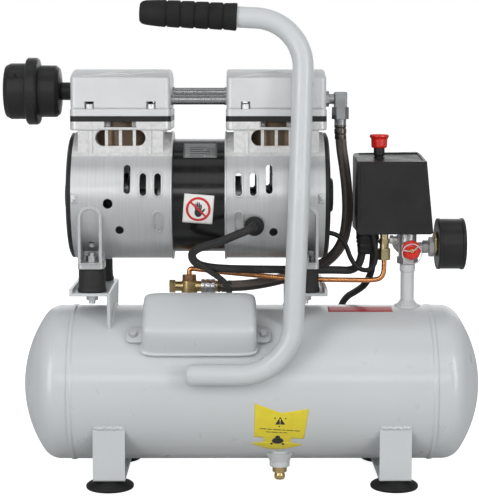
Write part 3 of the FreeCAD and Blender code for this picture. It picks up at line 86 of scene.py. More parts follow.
soft_box("left_box", (-1.45, -1.75, 0.85), (0, 0, 0.25), 0.8, 1.9, 22)
soft_box("right_box", (1.55, -1.6, 0.8), (0, 0, 0.25), 0.6, 1.9, 18)
soft_box("top_box", (0.0, -1.9, 1.75), (0, 0, 0.25), 2.2, 0.9, 8)
soft_box("front_box", (0.0, -2.7, 0.85), (0, 0, 0.27), 1.6, 0.4, 8)
soft_box("high_box", (0.0, -0.3, 2.3), (0, 0, 0.2), 1.6, 1.2, 4)
soft_box("back_box", (0.3, 2.4, 1.0), (0, 0, 0.2), 2.6, 1.6, 13)

world = bpy.data.worlds.new("white_room")
bpy.context.scene.world = world
world.use_nodes = True
room = world.node_tree
room.nodes.clear()
room_out = room.nodes.new("ShaderNodeOutputWorld")
room_mix = room.nodes.new("ShaderNodeMixShader")
room_seen = room.nodes.new("ShaderNodeBackground")
room_seen.inputs["Color"].default_value = (1, 1, 1, 1)
room_seen.inputs["Strength"].default_value = 1.0
room_light = room.nodes.new("ShaderNodeBackground")
room_light.inputs["Strength"].default_value = 0.5
room_rays = room.nodes.new("ShaderNodeLightPath")
room_place = room.nodes.new("ShaderNodeTexCoord")
room_split = room.nodes.new("ShaderNodeSeparateXYZ")
room_range = room.nodes.new("ShaderNodeMapRange")
room_range.inputs["From Min"].default_value = -1.0
room_range.inputs["From Max"].default_value = 1.0
room_tone = room.nodes.new("ShaderNodeValToRGB")
room_tone.color_ramp.elements[0].position = 0.1
room_tone.color_ramp.elements[0].color = (0.16, 0.165, 0.17, 1)
room_tone.color_ramp.elements[1].position = 0.62
room_tone.color_ramp.elements[1].color = (0.9, 0.92, 0.95, 1)
room.links.new(room_place.outputs["Generated"], room_split.inputs["Vector"])
room.links.new(room_split.outputs["Y"], room_range.inputs["Value"])
room.links.new(room_range.outputs["Result"], room_tone.inputs["Fac"])
room.links.new(room_tone.outputs["Color"], room_light.inputs["Color"])
room.links.new(room_rays.outputs["Is Camera Ray"], room_mix.inputs["Fac"])
room.links.new(room_light.outputs["Background"], room_mix.inputs[1])
room.links.new(room_seen.outputs["Background"], room_mix.inputs[2])
room.links.new(room_mix.outputs["Shader"], room_out.inputs["Surface"])
bpy.context.scene.view_settings.view_transform = "Standard"
bpy.context.scene.view_settings.look = "None"

floor_mesh = bpy.data.meshes.new("floor")
reach = 30.0
floor_mesh.from_pydata([(-reach, -reach, 0), (reach, -reach, 0), (reach, reach, 0), (-reach, reach, 0)],
                       [], [(0, 1, 2, 3)])
floor = bpy.data.objects.new("floor", floor_mesh)
bpy.context.scene.collection.objects.link(floor)
floor.location.z = -0.0002
floor_finish = bpy.data.materials.new("white_floor")
floor_finish.use_nodes = True
floor_tree = floor_finish.node_tree
floor_shader = floor_tree.nodes["Principled BSDF"]
floor_shader.inputs["Base Color"].default_value = (0.62, 0.62, 0.62, 1)
floor_shader.inputs["Roughness"].default_value = 0.8
floor_shader.inputs["Specular IOR Level"].default_value = 0.1
paper_glow = floor_tree.nodes.new("ShaderNodeEmission")
paper_rays = floor_tree.nodes.new("ShaderNodeLightPath")
paper_sum = floor_tree.nodes.new("ShaderNodeAddShader")
floor_tree.links.new(paper_rays.outputs["Is Camera Ray"], paper_glow.inputs["Strength"])
paper_glow.inputs["Color"].default_value = (0.88, 0.88, 0.88, 1)
floor_tree.links.new(floor_shader.outputs["BSDF"], paper_sum.inputs[0])
floor_tree.links.new(paper_glow.outputs["Emission"], paper_sum.inputs[1])
floor_tree.links.new(paper_sum.outputs["Shader"], floor_tree.nodes["Material Output"].inputs["Surface"])
floor_mesh.materials.append(floor_finish)

# ------------------------------------------------------------ mains cord
# Black round flex with a moulded plug. It leaves the right-hand gland under the switch,
# drops behind the tank and its spare length lies in a tied coil on the floor.


def start_finish(name, roughness, metallic=0.0):
    """A principled material, with its nodes, links, shader and object coordinates."""
    material = bpy.data.materials.new(name)
    material.use_nodes = True
    tree = material.node_tree
    shader = tree.nodes["Principled BSDF"]
    shader.inputs["Roughness"].default_value = roughness
    shader.inputs["Metallic"].default_value = metallic
    place = tree.nodes.new("ShaderNodeTexCoord").outputs["Object"]
    return material, tree, shader, place


def clouds(tree, place, scale, detail=3.0, stretch=(1, 1, 1)):
    """Noise of that many features per metre, drawn out where stretch is small."""
    mapping = tree.nodes.new("ShaderNodeMapping")
    mapping.inputs["Scale"].default_value = stretch
    noise = tree.nodes.new("ShaderNodeTexNoise")
    noise.inputs["Scale"].default_value = scale
    noise.inputs["Detail"].default_value = detail
    tree.links.new(place, mapping.inputs["Vector"])
    tree.links.new(mapping.outputs["Vector"], noise.inputs["Vector"])
    return noise.outputs["Fac"]


def between(tree, factor, low, high, start=0.3, end=0.7):
    """A colour or grey that runs from low to high as the factor goes from start to end."""
    ramp = tree.nodes.new("ShaderNodeValToRGB")
    first, last = ramp.color_ramp.elements
    first.position, last.position = start, end
    first.color = (*low, 1) if len(low) == 3 else low
    last.color = (*high, 1) if len(high) == 3 else high
    tree.links.new(factor, ramp.inputs["Fac"])
    return ramp.outputs["Color"]


def relief(tree, shader, height, depth, strength=1.0):
    """Raises the surface by height times depth, on top of any relief it already has."""
    bump = tree.nodes.new("ShaderNodeBump")
    bump.inputs["Distance"].default_value = depth
    bump.inputs["Strength"].default_value = strength
    tree.links.new(height, bump.inputs["Height"])
    if shader.inputs["Normal"].is_linked:
        tree.links.new(shader.inputs["Normal"].links[0].from_socket, bump.inputs["Normal"])
    tree.links.new(bump.outputs["Normal"], shader.inputs["Normal"])


def soft_edges(tree, shader, radius):
    """Rounds the look of sharp edges, before any relief."""
    bevel = tree.nodes.new("ShaderNodeBevel")
    bevel.samples = 4
    bevel.inputs["Radius"].default_value = radius
    tree.links.new(bevel.outputs["Normal"], shader.inputs["Normal"])


def black_moulding(name, tone, roughness, grain=1400, grain_depth=0.00006):
    """Black plastic or rubber: slight greying in patches and a fine moulded grain."""
    material, tree, shader, place = start_finish(name, roughness)
    shader.inputs["Specular IOR Level"].default_value = 0.3
    patches = clouds(tree, place, 28, 4)
    dark = tuple(tone * c for c in (0.6, 0.6, 0.61))
    pale = tuple(tone * c for c in (1.0, 0.99, 0.99))
    tree.links.new(between(tree, patches, dark, pale), shader.inputs["Base Color"])
    rough = between(tree, clouds(tree, place, 60, 5), (roughness - 0.07,) * 3, (roughness + 0.09,) * 3)
    tree.links.new(rough, shader.inputs["Roughness"])
    relief(tree, shader, clouds(tree, place, grain, 2), grain_depth)
    return material


def route_curve(name, route, radius, material, sides=8):
    """A round flex: an order-3 spline with the route's points as its control points."""
    curve = bpy.data.curves.new(name, "CURVE")
    curve.dimensions = "3D"
    spline = curve.splines.new("NURBS")
    points = np.column_stack([mm(route), np.ones(len(route))])
    spline.points.add(len(points) - 1)
    spline.points.foreach_set("co", points.ravel())
    spline.points.foreach_set("radius", [radius] * len(points))
    spline.order_u = 3
    spline.use_endpoint_u = True
    curve.resolution_u = 10
    curve.bevel_depth = 1.0 if radius else 0.0
    curve.bevel_resolution = sides
    curve.use_fill_caps = True
    curve.materials.append(material)
    piece = bpy.data.objects.new(name, curve)
    bpy.context.scene.collection.objects.link(piece)
    return piece


flex_finish = black_moulding("black_flex", 0.018, 0.42, 900, 0.00005)
flex_radius = 0.0035
cord_route = [
    (121.4, 0.0, 222.9), (121.3, 1.2, 208.0), (116.0, 11.0, 190.5), (107.0, 27.0, 180.5),
    (99.0, 45.0, 173.0), (94.0, 62.0, 161.0), (92.0, 76.0, 144.0), (91.5, 86.0, 122.0),
    (92.0, 91.0, 98.0), (93.0, 93.0, 74.0), (95.0, 94.5, 52.0), (98.0, 98.0, 34.0),
    (101.5, 105.0, 18.5), (105.0, 116.0, 8.0), (107.0, 130.0, 3.8), (104.6, 146.0, 3.6)]
coil_x, coil_y = 52.0, 146.0
points_per_turn = 16


def coil_turns():
    """Six turns: out on the floor layer, in, up, and out again on the second layer.

    A turn's radius and height run smoothly between its layer's three tracks:
    angle = 2 pi t, radius = track radius at t, height = layer height at t.
    """
    turn = np.arange(0.7, 5.75, 1 / points_per_turn)
    track_turn = [0.7, 1.0, 1.9, 2.1, 2.7, 3.0, 3.25, 3.9, 4.15, 4.75, 5.0, 5.75]
    track_radius = [47.2, 45.6, 45.4, 39.0, 38.6, 32.0, 31.8, 31.8, 38.5, 38.8, 45.3, 45.5]
    track_height = [3.6, 3.6, 3.6, 3.6, 3.6, 3.6, 6.0, 10.6, 10.6, 10.6, 10.6, 10.6]
    radius = np.interp(turn, track_turn, track_radius) / math.cos(math.pi / points_per_turn)
    height = np.interp(turn, track_turn, track_height)
    angle = 2 * math.pi * (turn - 0.5)
    return np.column_stack([coil_x + radius * np.cos(angle), coil_y + radius * np.sin(angle), height])


tail_route = [(26.0, 193.0, 10.6), (11.0, 189.5, 11.0), (-1.0, 179.5, 12.0), (-14.0, 176.0, 12.1)]
whole_route = np.vstack([cord_route, coil_turns(), tail_route])
mains_flex = route_curve("mains_flex", whole_route, flex_radius, flex_finish)
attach(mains_flex, "frame")
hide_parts("mains_cord", "cord_coil")


def spline_length(piece):
    """Length of a curve piece's own line, measured with its bevel taken away."""
    depth = piece.data.bevel_depth
    piece.data.bevel_depth = 0.0
    bpy.context.view_layer.update()
    line = bpy.data.meshes.new_from_object(piece.evaluated_get(bpy.context.evaluated_depsgraph_get()))
    places = np.empty(len(line.vertices) * 3)
    line.vertices.foreach_get("co", places)
    places = places.reshape(-1, 3)
    bpy.data.meshes.remove(line)
    piece.data.bevel_depth = depth
    return float(np.linalg.norm(np.diff(places, axis=0), axis=1).sum()), places


def skin(name, points, material, around=True, ends=True, uv=None):
    """A mesh over a grid of points: rows follow the length, columns go round the piece.

    Neighbouring points are joined by quads; around joins the last column to the first,
    and ends closes the first and the last row with a cap.
    """
    rows, columns = points.shape[:2]
    index = np.arange(rows * columns).reshape(rows, columns)
    if around:
        index = np.hstack([index, index[:, :1]])
    quads = np.stack([index[:-1, :-1], index[:-1, 1:], index[1:, 1:], index[1:, :-1]], -1)
    faces = quads.reshape(-1, 4).tolist()
    if ends and around:
        faces.append(index[0, -2::-1].tolist())
        faces.append(index[-1, :-1].tolist())
    mesh = bpy.data.meshes.new(name)
    mesh.from_pydata(points.reshape(-1, 3).tolist(), [], faces)
    if uv is not None:
        layer = mesh.uv_layers.new(name="surface")
        along, across = uv
        corner = np.zeros((len(mesh.loops), 2))
        u = np.stack([along[:-1, None] + 0 * across[None, 1:], along[:-1, None] + 0 * across[None, 1:],
                      along[1:, None] + 0 * across[None, 1:], along[1:, None] + 0 * across[None, 1:]], -1)
        v = np.stack([across[None, :-1] + 0 * along[1:, None], across[None, 1:] + 0 * along[1:, None],
                      across[None, 1:] + 0 * along[1:, None], across[None, :-1] + 0 * along[1:, None]], -1)
        count = u.size
        corner[:count, 0] = u.reshape(-1)
        corner[:count, 1] = v.reshape(-1)
        layer.data.foreach_set("uv", corner.ravel())
    mesh.materials.append(material)
    mesh.shade_smooth()
    piece = bpy.data.objects.new(name, mesh)
    bpy.context.scene.collection.objects.link(piece)
    outward(piece)
    return piece


def outward(piece):
    """Joins a closed mesh along its seam and turns every face to point outwards."""
    import bmesh
    work = bmesh.new()
    work.from_mesh(piece.data)
    bmesh.ops.remove_doubles(work, verts=work.verts, dist=1e-7)
    bmesh.ops.recalc_face_normals(work, faces=work.faces)
    work.to_mesh(piece.data)
    work.free()


def eased(points, radius, steps=5):
    """Rounds each inner corner of an open line with a short parabola of that reach."""
    points = np.asarray(points, float)
    before, here, after = points[:-2], points[1:-1], points[2:]
    back = before - here
    forth = after - here
    back_length = np.linalg.norm(back, axis=1, keepdims=True)
    forth_length = np.linalg.norm(forth, axis=1, keepdims=True)
    start = here + back * np.minimum(radius / back_length, 0.48)
    end = here + forth * np.minimum(radius / forth_length, 0.48)
    t = np.linspace(0, 1, steps)[None, :, None]
    arcs = (1 - t) ** 2 * start[:, None] + 2 * t * (1 - t) * here[:, None] + t ** 2 * end[:, None]
    return np.vstack([points[:1], arcs.reshape(-1, points.shape[1]), points[-1:]])


def turned(name, profile, base, axis, material, sides=72, wave=None, hoop=False):
    """A piece turned on a lathe: (radius, distance) rows in millimetres, carried round an axis.

    point = base + axis * distance + radius * (first * cos a + second * sin a); wave, when
    given, multiplies the radius by a function of the angle. A hoop's profile closes on itself.
    """
    profile = np.asarray(profile, float) * 0.001
    if hoop:
        profile = np.vstack([profile, profile[:1]])
    axis = np.asarray(axis, float) / np.linalg.norm(axis)
    first = np.cross(axis, [0.0, 1.0, 0.0] if abs(axis[1]) < 0.9 else [1.0, 0.0, 0.0])
    first /= np.linalg.norm(first)
    second = np.cross(axis, first)
    angle = np.linspace(0, 2 * math.pi, sides, endpoint=False)
    ring = first * np.cos(angle)[:, None] + second * np.sin(angle)[:, None]
    radius = profile[:, 0][:, None] * (1.0 if wave is None else wave(angle)[None, :])
    points = mm(base) + axis * profile[:, 1][:, None, None] + radius[:, :, None] * ring[None]
    return skin(name, points, material, ends=not hoop)


plug_finish = black_moulding("plug_moulding", 0.02, 0.48, 1200, 0.00005)
for label in ("mains_plug",):
    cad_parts[label].data.materials.clear()
    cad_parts[label].data.materials.append(plug_finish)
cord_tie = skin("cord_tie", np.array([
    mm(np.column_stack([coil_x + (38.5 + 11.6 * np.cos(a) * 1.0) * math.cos(b),
                        coil_y + (38.5 + 11.6 * np.cos(a)) * math.sin(b),
                        np.clip(7.1 + 9.6 * np.sin(a), 0.4, 15.0)]))
    for b in np.linspace(2.9, 3.12, 5) for a in [np.linspace(0, 2 * math.pi, 40, endpoint=False)]]),
    plug_finish)
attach(cord_tie, "frame")
mains_length, _ = spline_length(mains_flex)

# ------------------------------------------------------------ motor, capacitor and thermal cables
# Sleeved motor cable from the rubber grommet, its branch into the capacitor cover and
# the thin cable from the end cover, all run to the switch above the tank.

motor_route = [
    (2.1, -58.5, 255.5), (-1.0, -72.0, 254.0), (-14.0, -80.0, 249.5), (-29.0, -79.0, 243.0),
    (-41.0, -74.0, 238.5), (-53.0, -70.5, 235.0), (-59.0, -62.0, 228.0), (-54.5, -52.5, 218.0),
    (-40.0, -45.0, 213.5), (-20.0, -38.0, 211.5), (0.0, -31.0, 210.3), (22.0, -25.0, 209.3),
    (43.0, -19.0, 208.3), (65.0, -13.0, 207.3), (86.0, -6.0, 206.5), (100.0, -2.0, 205.2),
    (108.6, -0.4, 212.0), (110.2, 0.0, 223.5)]
capacitor_route = [
    (-56.6, -57.4, 223.2), (-50.5, -56.5, 219.0), (-42.5, -52.5, 212.0), (-33.0, -46.5, 205.0),
    (-25.0, -40.8, 197.5), (-21.8, -36.7, 189.0), (-21.8, -36.7, 180.5)]
thermal_route = [
    (75.1, -14.0, 244.5), (84.5, -13.8, 243.5), (93.0, -13.3, 233.0), (97.5, -12.8, 219.0),
    (105.0, -12.2, 208.6), (115.5, -12.0, 206.0), (122.5, -12.0, 213.0), (123.0, -12.0, 225.0),
    (121.0, -12.0, 235.0), (119.0, -12.0, 244.3)]
sleeve_finish = black_moulding("cable_sleeve", 0.036, 0.6, 260, 0.0006)
for name, route, radius, finish in (
        ("motor_cable", motor_route, 0.0040, sleeve_finish),
        ("capacitor_cable", capacitor_route, 0.0029, sleeve_finish),
        ("thermal_cable", thermal_route, 0.0024, flex_finish)):
    cable = route_curve(name, route, radius, finish)
    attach(cable, "frame")
    if name == "motor_cable":
        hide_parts("motor_cables")
    cable_length, _ = spline_length(cable)
grommet_finish = black_moulding("grommet_rubber", 0.016, 0.5)
grommet = turned("grommet", eased([(3.7, 14.0), (4.6, 14.0), (5.6, 7.5), (9.0, 4.8), (9.6, 2.6), (9.2, 0.6),
                                   (7.9, 0), (7.9, -3.0), (3.7, -3.0)], 1.0),
                 (2.1, -58.2, 255.5), (-0.12, -1, -0.06), grommet_finish, 48)
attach(grommet, "frame")

# ------------------------------------------------------------ tank, legs and brackets
# Rolled and welded steel, powder-coated light grey after welding, so every weld bead
# and seam is under the same satin paint.


def powder_coat(name, colour):
    """Satin powder coat: faint orange peel, slight clouding, a thin clear gloss."""
    material, tree, shader, place = start_finish(name, 0.34)
    patches = clouds(tree, place, 7, 4)
    low = tuple(c * 0.955 for c in colour)
    tree.links.new(between(tree, patches, low, colour), shader.inputs["Base Color"])
    rough = between(tree, clouds(tree, place, 45, 4), (0.27,) * 3, (0.37,) * 3)
    tree.links.new(rough, shader.inputs["Roughness"])
    shader.inputs["Coat Weight"].default_value = 0.25
    shader.inputs["Coat Roughness"].default_value = 0.12
    soft_edges(tree, shader, 0.0008)
    relief(tree, shader, clouds(tree, place, 420, 2), 0.00012, 0.35)
    return material


def dress(material, *labels):
    """Gives CAD nodes a finish."""
    for label in labels:
        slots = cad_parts[label].data.materials
        slots.clear()
        slots.append(material)


tank_paint = powder_coat("light_grey_powder_coat", (0.60, 0.622, 0.63))
dress(tank_paint, "tank_shell", "tank_head_left", "tank_head_right", "leg_left", "leg_right",
      "bracket_left", "bracket_right", "riser_pipe", "handle_tube")


def weld_bead(name, centre_line, radius, pitch=3.2):
    """A bead along a line: a tube whose radius ripples as r (1 + 0.16 sin(2 pi s / pitch))."""
    line = np.asarray(centre_line, float)
    step = np.linalg.norm(np.diff(line, axis=0), axis=1)
    run = np.concatenate([[0], np.cumsum(step)])
    forward = np.gradient(line, axis=0)
    forward /= np.linalg.norm(forward, axis=1, keepdims=True)
    side = np.cross(forward, [0.13, 0.31, 0.94])
    side /= np.linalg.norm(side, axis=1, keepdims=True)
    up = np.cross(forward, side)
    fade = np.clip(np.minimum(run, run[-1] - run) / (radius * 1.2), 0.12, 1) ** 0.5
    size = radius * fade * (1 + 0.16 * np.sin(2 * math.pi * run / pitch)
                            + 0.07 * np.sin(run * 1.7) * np.sin(run * 0.43))
    angle = np.linspace(0, 2 * math.pi, 20, endpoint=False)
    ring = side[:, None] * np.cos(angle)[None, :, None] + up[:, None] * np.sin(angle)[None, :, None]
    bead = skin(name, mm(line)[:, None] + ring * size[:, None, None] * 0.001, tank_paint)
    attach(bead, "frame")
    return bead


tank_radius, tank_axis = 76.6, 93.4
for side, sign in (("left", -1), ("right", 1)):
    along = np.linspace(-15.0, 15.0, 60)
    leg_line = np.column_stack([138 * sign + along, np.full(60, -69.4),
                                61.6 + 0.25 * np.sin(along * 0.9)])
    weld_bead(f"leg_weld_front_{side}", leg_line, 2.1)
    weld_bead(f"leg_weld_rear_{side}", leg_line * [1, -1, 1], 2.1)
    reach_angle = np.radians(np.linspace(-34, 34, 120))
    web_x = (-155.2 + 15.0 + 1.6) if sign < 0 else (51.6 - 15.0 - 1.4)
    for face, offset in (("outer", -1.9 * sign), ("inner", 1.9 * sign)):
        saddle = np.column_stack([np.full(120, web_x + offset + 0.1 * sign),
                                  (tank_radius + 0.3) * np.sin(reach_angle),
                                  tank_axis + (tank_radius + 0.3) * np.cos(reach_angle)])
        weld_bead(f"bracket_weld_{face}_{side}", saddle, 1.5)
round_angle = np.linspace(0, 2 * math.pi, 90)
weld_bead("riser_weld", np.column_stack([155.6 + 11.3 * np.cos(round_angle), 11.3 * np.sin(round_angle),
                                         tank_axis + np.sqrt(tank_radius ** 2
                                                             - (11.3 * np.sin(round_angle)) ** 2)]), 1.5)
handle_line = np.linspace(-58.0, -6.0, 90)
weld_bead("handle_weld_top", np.column_stack([handle_line, np.full(90, -76.6), np.full(90, 123.2)]), 1.9)
weld_bead("handle_weld_low", np.column_stack([handle_line, np.full(90, -79.4), np.full(90, 106.9)]), 1.9)

# ------------------------------------------------------------ labels on the tank
# Thin vinyl labels pressed on the paint: a yellow notice on the front and a narrow
# red strip on top. They carry plain shapes only.


def vinyl(name, colour, roughness=0.35):
    """Printed vinyl: even ink with faint mottling and a little cockling."""
    material, tree, shader, place = start_finish(name, roughness)
    patches = clouds(tree, place, 120, 3)
    low = tuple(c * 0.93 for c in colour)
    tree.links.new(between(tree, patches, low, colour), shader.inputs["Base Color"])
    relief(tree, shader, clouds(tree, place, 90, 2), 0.00008, 0.5)
    return material


def on_drum(across, along, radius, axis_height, lift):
    """Wraps flat places onto a drum that lies along X.

    across is X, along is the height on the flat label, which becomes an arc measured
    from the drum's front: angle = along / radius.
    """
    across, angle = np.broadcast_arrays(across, along / radius)
    return np.stack([across, -(radius + lift) * np.cos(angle),
                     axis_height + (radius + lift) * np.sin(angle)], -1)


def label_patch(name, across, along, drum, lift, material, slot):
    """A label: a grid of flat places with a thin edge, wrapped onto its drum."""
    outer = mm(on_drum(across, along, drum[0], drum[1], lift))
    patch = skin(name, outer, material, around=False, ends=False)
    solid = patch.modifiers.new("film", "SOLIDIFY")
    solid.thickness = 0.00010
    solid.offset = 0.0
    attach(patch, "frame")
    return patch


yellow = vinyl("yellow_vinyl", (0.80, 0.66, 0.04))
ink = vinyl("black_ink", (0.02, 0.02, 0.02))
tank_drum = (tank_radius, tank_axis)
u = np.linspace(0, 1, 41)[None, :]
v = np.linspace(0, 1, 25)[:, None]
left_edge = 1.6 + 0.6 * v
right_edge = 49.8 + 4.1 * v
top_edge = np.interp(u, (0, 0.49, 1), (-6.2, -15.9, -11.8))
bottom_edge = np.interp(u, (0, 1), (-44.2, -47.0))
label_patch("notice", left_edge + (right_edge - left_edge) * u, bottom_edge + (top_edge - bottom_edge) * v,
            tank_drum, 0.12, yellow, "tank_paint")
label_patch("notice_column", 10.9 + 26.3 * u + 0 * v, -52.6 - 1.2 * u + 10.0 * v, tank_drum, 0.16, yellow,
            "tank_paint")
wing = np.linspace(0, 1, 61)[None, :]
wing_rows = np.linspace(0, 1, 7)[:, None]
wing_top = -53.8 - 1.9 * wing + 3.4 * np.sin(math.pi * wing) ** 0.6
wing_bottom = -54.2 - 1.9 * wing - 9.4 * np.sin(math.pi * wing) ** 1.2
label_patch("notice_ribbon", -0.9 + 49.7 * wing + 0 * wing_rows,
            wing_bottom + (wing_top - wing_bottom) * wing_rows, tank_drum, 0.20, yellow, "tank_paint")
side_u = np.linspace(0, 1, 9)[None, :]
side_v = np.linspace(0, 1, 9)[:, None]
disc_turn = np.linspace(0, 2 * math.pi, 37)[None, :]
disc_span = np.linspace(0.02, 1, 5)[:, None]


def sloping_bar(x, arc, length, thick, slope=-0.083):
    """A printed bar on the notice, which hangs a few degrees off level."""
    return x + length * side_u + 0 * side_v, arc + slope * length * side_u + thick * (side_v - 0.5)


notice_marks = [
    (26.6 + (side_u - 0.5) * 9.6 * (1 - side_v), -28.6 + 8.6 * side_v + 0 * side_u),
    (24.5 + 5.6 * disc_span * np.cos(disc_turn), -49.6 + 4.6 * disc_span * np.sin(disc_turn)),
    (24.5 + 2.4 * disc_span * np.cos(disc_turn), -44.6 + 2.4 * disc_span * np.sin(disc_turn)),
    (18.7 + 1.3 * disc_span * np.cos(disc_turn), -54.0 + 1.5 * disc_span * np.sin(disc_turn)),
    (29.9 + 1.3 * disc_span * np.cos(disc_turn), -54.6 + 1.5 * disc_span * np.sin(disc_turn)),
    (21.6 + 0.7 * disc_span * np.cos(disc_turn), -21.4 + 0.8 * disc_span * np.sin(disc_turn)),
    (31.8 + 0.7 * disc_span * np.cos(disc_turn), -21.8 + 0.8 * disc_span * np.sin(disc_turn)),
    (25.8 + 0.7 * disc_span * np.cos(disc_turn), -30.8 + 0.8 * disc_span * np.sin(disc_turn))]
for x, length in ((7.0, 6.4), (14.4, 4.2), (19.6, 7.8), (28.4, 3.4), (32.8, 6.6), (40.4, 5.2)):
    notice_marks.append(sloping_bar(x, -33.2 - 0.083 * (x - 7.0), length, 0.75))
for x, length in ((12.9, 4.6), (18.4, 6.2), (25.5, 3.2), (29.6, 4.1)):
    notice_marks.append(sloping_bar(x, -37.2 - 0.063 * (x - 12.9), length, 0.7))
for order, shape in enumerate(notice_marks):
    label_patch(f"notice_mark_{order}", shape[0], shape[1], tank_drum, 0.26, ink, "tank_paint")
label_patch("notice_stroke", 26.6 + (side_u - 0.5) * 0.9 * (0.5 + side_v), -26.6 + 4.4 * side_v + 0 * side_u,
            tank_drum, 0.38, yellow, "tank_paint")
label_patch("notice_dot", 26.6 + 0.6 * disc_span * np.cos(disc_turn), -27.6 + 0.5 * disc_span * np.sin(disc_turn),
            tank_drum, 0.38, yellow, "tank_paint")
red_vinyl = vinyl("red_vinyl", (0.42, 0.028, 0.035))
strip_u = np.linspace(75.5, 139.0, 33)[None, :]
strip_v = np.linspace(98.0, 114.0, 9)[:, None]
label_patch("red_strip", strip_u + 0 * strip_v, strip_v + 0 * strip_u, tank_drum, 0.12, red_vinyl,
            "tank_paint")

# ------------------------------------------------------------ feet and drain
# Moulded rubber discs on pan-head screws, and a brass drain screw in a hexagonal body
# under the tank.

foot_rubber = black_moulding("foot_rubber", 0.013, 0.55, 500, 0.00008)
foot_profile = eased([(2.8, 1.6), (3.4, 1.2), (18.0, 1.2), (19.4, 0.1), (22.4, 0.1), (23.3, 1.6), (23.2, 3.4),
                      (21.6, 4.8), (17.0, 6.6), (13.6, 8.0), (12.6, 8.9), (2.8, 8.9)], 0.8)
for side, x in (("left", -138.0), ("right", 138.0)):
    for end, y in (("front", -57.0), ("rear", 57.0)):
        foot = turned(f"foot_{end}_{side}", foot_profile, (x, y, 0.0), (0, 0, 1), foot_rubber, 96)
        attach(foot, "frame")
        if (side, end) == ("left", "front"):
            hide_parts("rubber_feet")


def machined_metal(name, colour, roughness, metallic=1.0, lines=(1, 1, 1), line_scale=900,
                   depth=0.00002, tarnish=0.8, edge=0.0004):
    """Turned or drawn metal: fine tool lines, and patches that are a little duller."""
    material, tree, shader, place = start_finish(name, roughness, metallic)
    dull = tuple(c * tarnish for c in colour)
    tree.links.new(between(tree, clouds(tree, place, 55, 5), dull, colour), shader.inputs["Base Color"])
    rough = between(tree, clouds(tree, place, 140, 4), (roughness - 0.06,) * 3, (roughness + 0.1,) * 3)
    tree.links.new(rough, shader.inputs["Roughness"])
    if edge:
        soft_edges(tree, shader, edge)
    if depth:
        relief(tree, shader, clouds(tree, place, line_scale, 2, lines), depth)
    return material


brass = machined_metal("machined_brass", (0.83, 0.60, 0.28), 0.24, lines=(0.15, 0.15, 1))
zinc_plate = machined_metal("zinc_plate", (0.72, 0.73, 0.74), 0.3)
dress(brass, "drain_valve", "drain_screw")
dress(zinc_plate, "pan_head_screws", "mount_bolts", "switch_base")

# ------------------------------------------------------------ rubber mounts
# Four rubber buffers hold the pump on its brackets; a stud runs through each.

mount_rubber = black_moulding("mount_rubber", 0.030, 0.6, 450, 0.00012)
buffer_profile = eased([(3.3, 0.2), (13.6, 0.2), (14.2, 1.2), (14.1, 2.6), (13.2, 5.4), (12.9, 12.0), (12.9, 21.4),
                        (12.3, 23.2), (3.3, 23.2)], 1.0)
mount_spots = [(x, y) for x in (-155.2, 51.6) for y in (-43.0, 43.0)]
for order, (x, y) in enumerate(mount_spots):
    rubber = turned(f"rubber_buffer_{order}", buffer_profile, (x, y, 190.0), (0, 0, 1), mount_rubber, 64)
    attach(rubber, "frame")
    if order == 0:
        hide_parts("rubber_mounts")

# ------------------------------------------------------------ crankcases and cylinders
# Die-cast aluminium: the round cases are turned and brushed round their axis, the
# cylinder blocks keep their as-cast, slightly pebbled skin.


def hose_skin(name, line, radius, material):
    """A tube round a line: point = line + radius * (side cos a + up sin a)."""
    forward = np.gradient(line, axis=0)
    forward /= np.linalg.norm(forward, axis=1, keepdims=True)
    side = np.cross(forward, [0.0, 1.0, 0.0])
    side /= np.linalg.norm(side, axis=1, keepdims=True)
    up = np.cross(forward, side)
    angle = np.linspace(0, 2 * math.pi, 48, endpoint=False)
    ring = side[:, None] * np.cos(angle)[None, :, None] + up[:, None] * np.sin(angle)[None, :, None]
    run = np.concatenate([[0], np.cumsum(np.linalg.norm(np.diff(line, axis=0), axis=1))])
    across = np.linspace(0, 1, 49) * 2 * math.pi * float(np.mean(radius))
    return skin(name, line[:, None] + ring * radius, material, uv=(run * 100, across * 100))


block_foot = 0.3216


